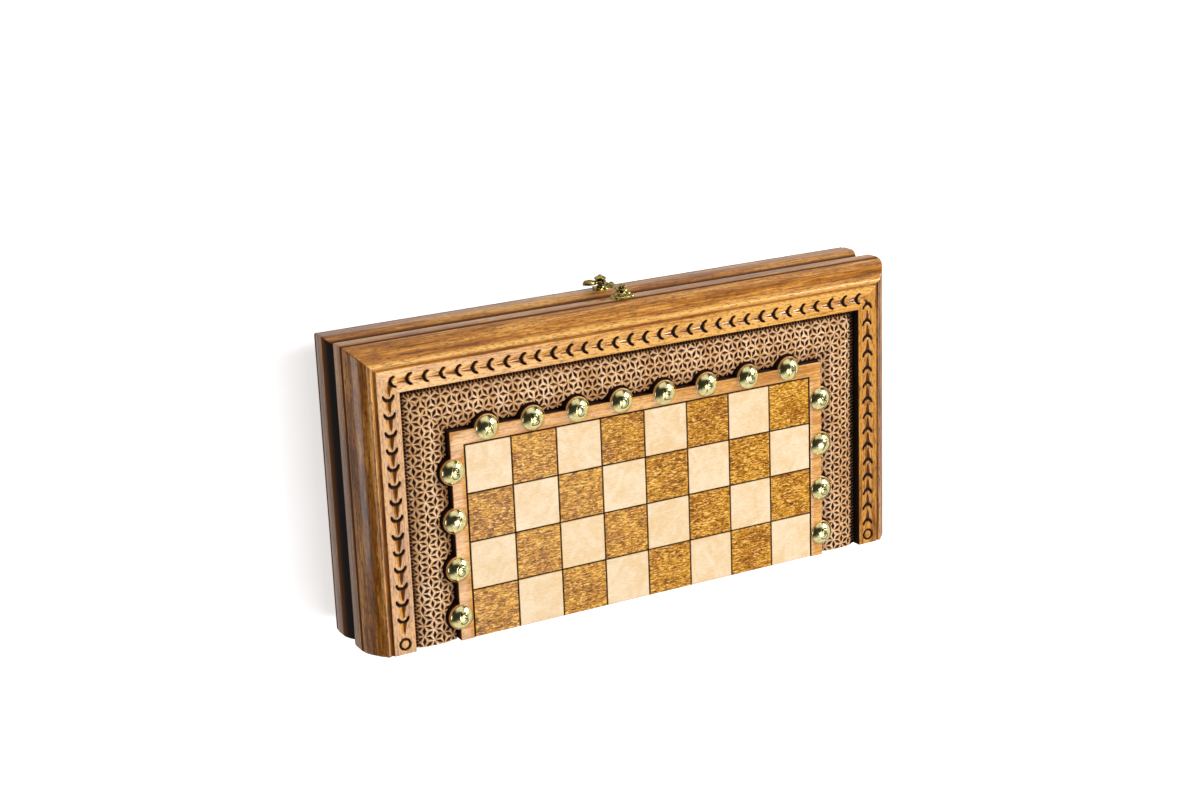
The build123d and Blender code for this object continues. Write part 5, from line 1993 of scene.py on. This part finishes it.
@dataclass
class Studio:
    """A plain pale floor, soft light and the photograph's camera.

    Attributes:
        floor_size: The floor's side, in metres.
        floor_gap: How far the floor lies under the box, in metres.
        floor_glow: How strongly the floor glows to the camera, so that it shows white.
        floor_shown: How bright reflections show the floor.
        lens, sensor, eye, right, down, forward: The camera, in millimetres of the box's frame.
        near_edge, far_edge: Where reflections turn from dark to white and back, along X.
        horizon_way, horizon_edge, horizon_height: The bright horizon that reflections show.
        patch_way, patch_edge: The dark patch in it.
        shown_level, dark_level: How bright the white and the dark parts are in reflections.
        light_way, bright_level, dim_level: Where the soft light is bright and where it is dim.
        lamps: Name, place and side in metres, and power in watts of each square lamp.
    """

    floor_size: float = 6.0
    floor_gap: float = 0.0001
    floor_glow: float = 0.62
    floor_shown: float = 0.6
    lens: float = 64.30
    sensor: float = 36.0
    eye: tuple[float, float, float] = (656.0, -526.2, 1201.9)
    right: tuple[float, float, float] = (-0.87539, 0.03809, 0.4819)
    down: tuple[float, float, float] = (0.16703, 0.95932, 0.2276)
    forward: tuple[float, float, float] = (-0.45365, 0.27973, -0.84614)
    near_edge: tuple[float, float] = (-0.53, -0.36)
    far_edge: tuple[float, float] = (0.6, 0.3)
    horizon_way: tuple[float, float, float] = (-0.6, 0.8, 0.0)
    horizon_edge: tuple[float, float] = (-0.1, 0.35)
    horizon_height: tuple[float, float] = (0.82, 0.5)
    patch_way: tuple[float, float, float] = (0.21, -0.13, 0.94)
    patch_edge: tuple[float, float] = (0.86, 0.74)
    shown_level: float = 0.95
    dark_level: float = 0.03
    light_way: tuple[float, float, float] = (-0.75, -0.35, 0.55)
    bright_level: float = 0.5
    dim_level: float = 0.13
    lamps: tuple = (
        ("sheen", (-0.28, 0.45, 1.95), 1.1, 17.5),
        ("key", (-1.45, -1.0, 1.15), 0.8, 34.0),
        ("fill", (1.45, 0.1, 0.12), 0.6, 3.5),
    )

    def floor(self) -> None:
        """A pale floor under the box, which the camera sees as white."""
        mesh = bpy.data.meshes.new("floor")
        half = self.floor_size / 2
        corners = [(-half, -half, 0), (half, -half, 0), (half, half, 0), (-half, half, 0)]
        mesh.from_pydata(corners, [], [(0, 1, 2, 3)])
        material, tree = new_material("white_paper")
        tree.nodes.remove(tree.nodes["Principled BSDF"])
        paper = add_node(tree, "BsdfDiffuse", {"Color": linear("#e9e9ea")})
        glow = add_node(tree, "Emission", {"Color": linear("#ffffff"), "Strength": self.floor_glow})
        lit = add_node(tree, "AddShader", {0: paper.outputs[0], 1: glow.outputs[0]})
        bounce = add_node(tree, "BsdfDiffuse", {"Color": linear("#b8b0a8")})
        mirror = add_node(tree, "Emission", {"Color": linear("#fffdfa"), "Strength": self.floor_shown})
        feed(tree, tree.nodes["Material Output"], {"Surface": by_ray(tree, bounce, mirror, lit)})
        mesh.materials.append(material)
        floor = bpy.data.objects.new("floor", mesh)
        floor.location.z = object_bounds()[0][2] - self.floor_gap
        bpy.context.scene.collection.objects.link(floor)
        floor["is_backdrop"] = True

    def lamp(self, name: str, place: tuple, size: float, power: float) -> None:
        """A square soft light that looks at the box.

        Args:
            name: Its name.
            place: Where it hangs, in metres.
            size: Its side, in metres.
            power: Its power in watts.
        """
        data = bpy.data.lights.new(name, "AREA")
        data.size = size
        data.energy = power
        light = bpy.data.objects.new(name, data)
        light.location = place
        aim = Vector((0, -0.1, 0)) - Vector(place)
        light.rotation_euler = aim.to_track_quat("-Z", "Y").to_euler()
        bpy.context.scene.collection.objects.link(light)

    def reflected(self, tree: Tree, way: Socket) -> Socket:
        """How bright gloss sees the room: white between two edges and along the horizon.

        Args:
            tree: The world's node tree.
            way: The direction that is looked in.

        Returns:
            The brightness, dark again in one patch of the white.
        """
        axes = add_node(tree, "SeparateXYZ", {0: way}).outputs
        near = ranged(tree, axes["X"], *self.near_edge)
        far = ranged(tree, axes["X"], *self.far_edge)
        ahead = ranged(tree, facing(tree, way, self.horizon_way), *self.horizon_edge)
        level = ranged(tree, axes["Z"], *self.horizon_height)
        apart = ranged(tree, facing(tree, way, self.patch_way), *self.patch_edge)
        between = counted(tree, "MULTIPLY", near, far)
        horizon = counted(tree, "MULTIPLY", ahead, level)
        white = counted(tree, "MULTIPLY", counted(tree, "MAXIMUM", between, horizon), apart)
        return ranged(tree, white, 0.0, 1.0, self.dark_level, self.shown_level)

    def world(self) -> None:
        """A dark room with a white side for gloss, soft light for matt surfaces, white for the camera."""
        world = bpy.data.worlds.new("studio")
        world.use_nodes = True
        tree = world.node_tree
        tree.nodes.remove(tree.nodes["Background"])
        way = add_node(tree, "TexCoord").outputs["Generated"]
        level = ranged(tree, facing(tree, way, self.light_way), -0.6, 1.0, self.dim_level, self.bright_level)
        shown = self.reflected(tree, way)
        room, mirror, backdrop = (
            add_node(tree, "Background", {"Color": linear(code), "Strength": strength})
            for code, strength in (("#fdfaf6", level), ("#fdfcfa", shown), ("#ffffff", 1.0))
        )
        feed(tree, tree.nodes["World Output"], {"Surface": by_ray(tree, room, mirror, backdrop)})
        bpy.context.scene.world = world

    def camera(self) -> None:
        """The photograph's camera, solved from the board's grid."""
        data = bpy.data.cameras.new("camera")
        data.sensor_fit = "HORIZONTAL"
        data.sensor_width = self.sensor
        data.lens = self.lens
        data.clip_start = 0.05
        data.clip_end = 20
        camera = bpy.data.objects.new("camera", data)
        columns = [Vector(self.right), -Vector(self.down), -Vector(self.forward)]
        turn = Matrix([[c[i] for c in columns] for i in range(3)]).to_4x4()
        camera.matrix_world = Matrix.Translation(Vector(self.eye) * MM) @ turn
        bpy.context.scene.collection.objects.link(camera)
        bpy.context.scene.camera = camera

    def build(self) -> None:
        """Set the scene up."""
        self.floor()
        self.world()
        for lamp in self.lamps:
            self.lamp(*lamp)
        self.camera()
        bpy.context.scene.view_settings.view_transform = "Standard"


def main() -> None:
    """Build every sub-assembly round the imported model."""
    logging.basicConfig(level=logging.INFO, format="%(message)s")
    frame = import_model()
    finishes = Finishes()
    Frame().dress(finishes)
    LatticePanel().dress(finishes)
    Studs().dress(finishes)
    Board().dress(frame["nodes"], finishes)
    Latch().dress(finishes)
    Hinges().dress(frame["nodes"], finishes)
    Nests().dress(frame["nodes"], finishes)
    Chessmen().dress(finishes)
    Studio().build()


if __name__ == "__main__":
    main()
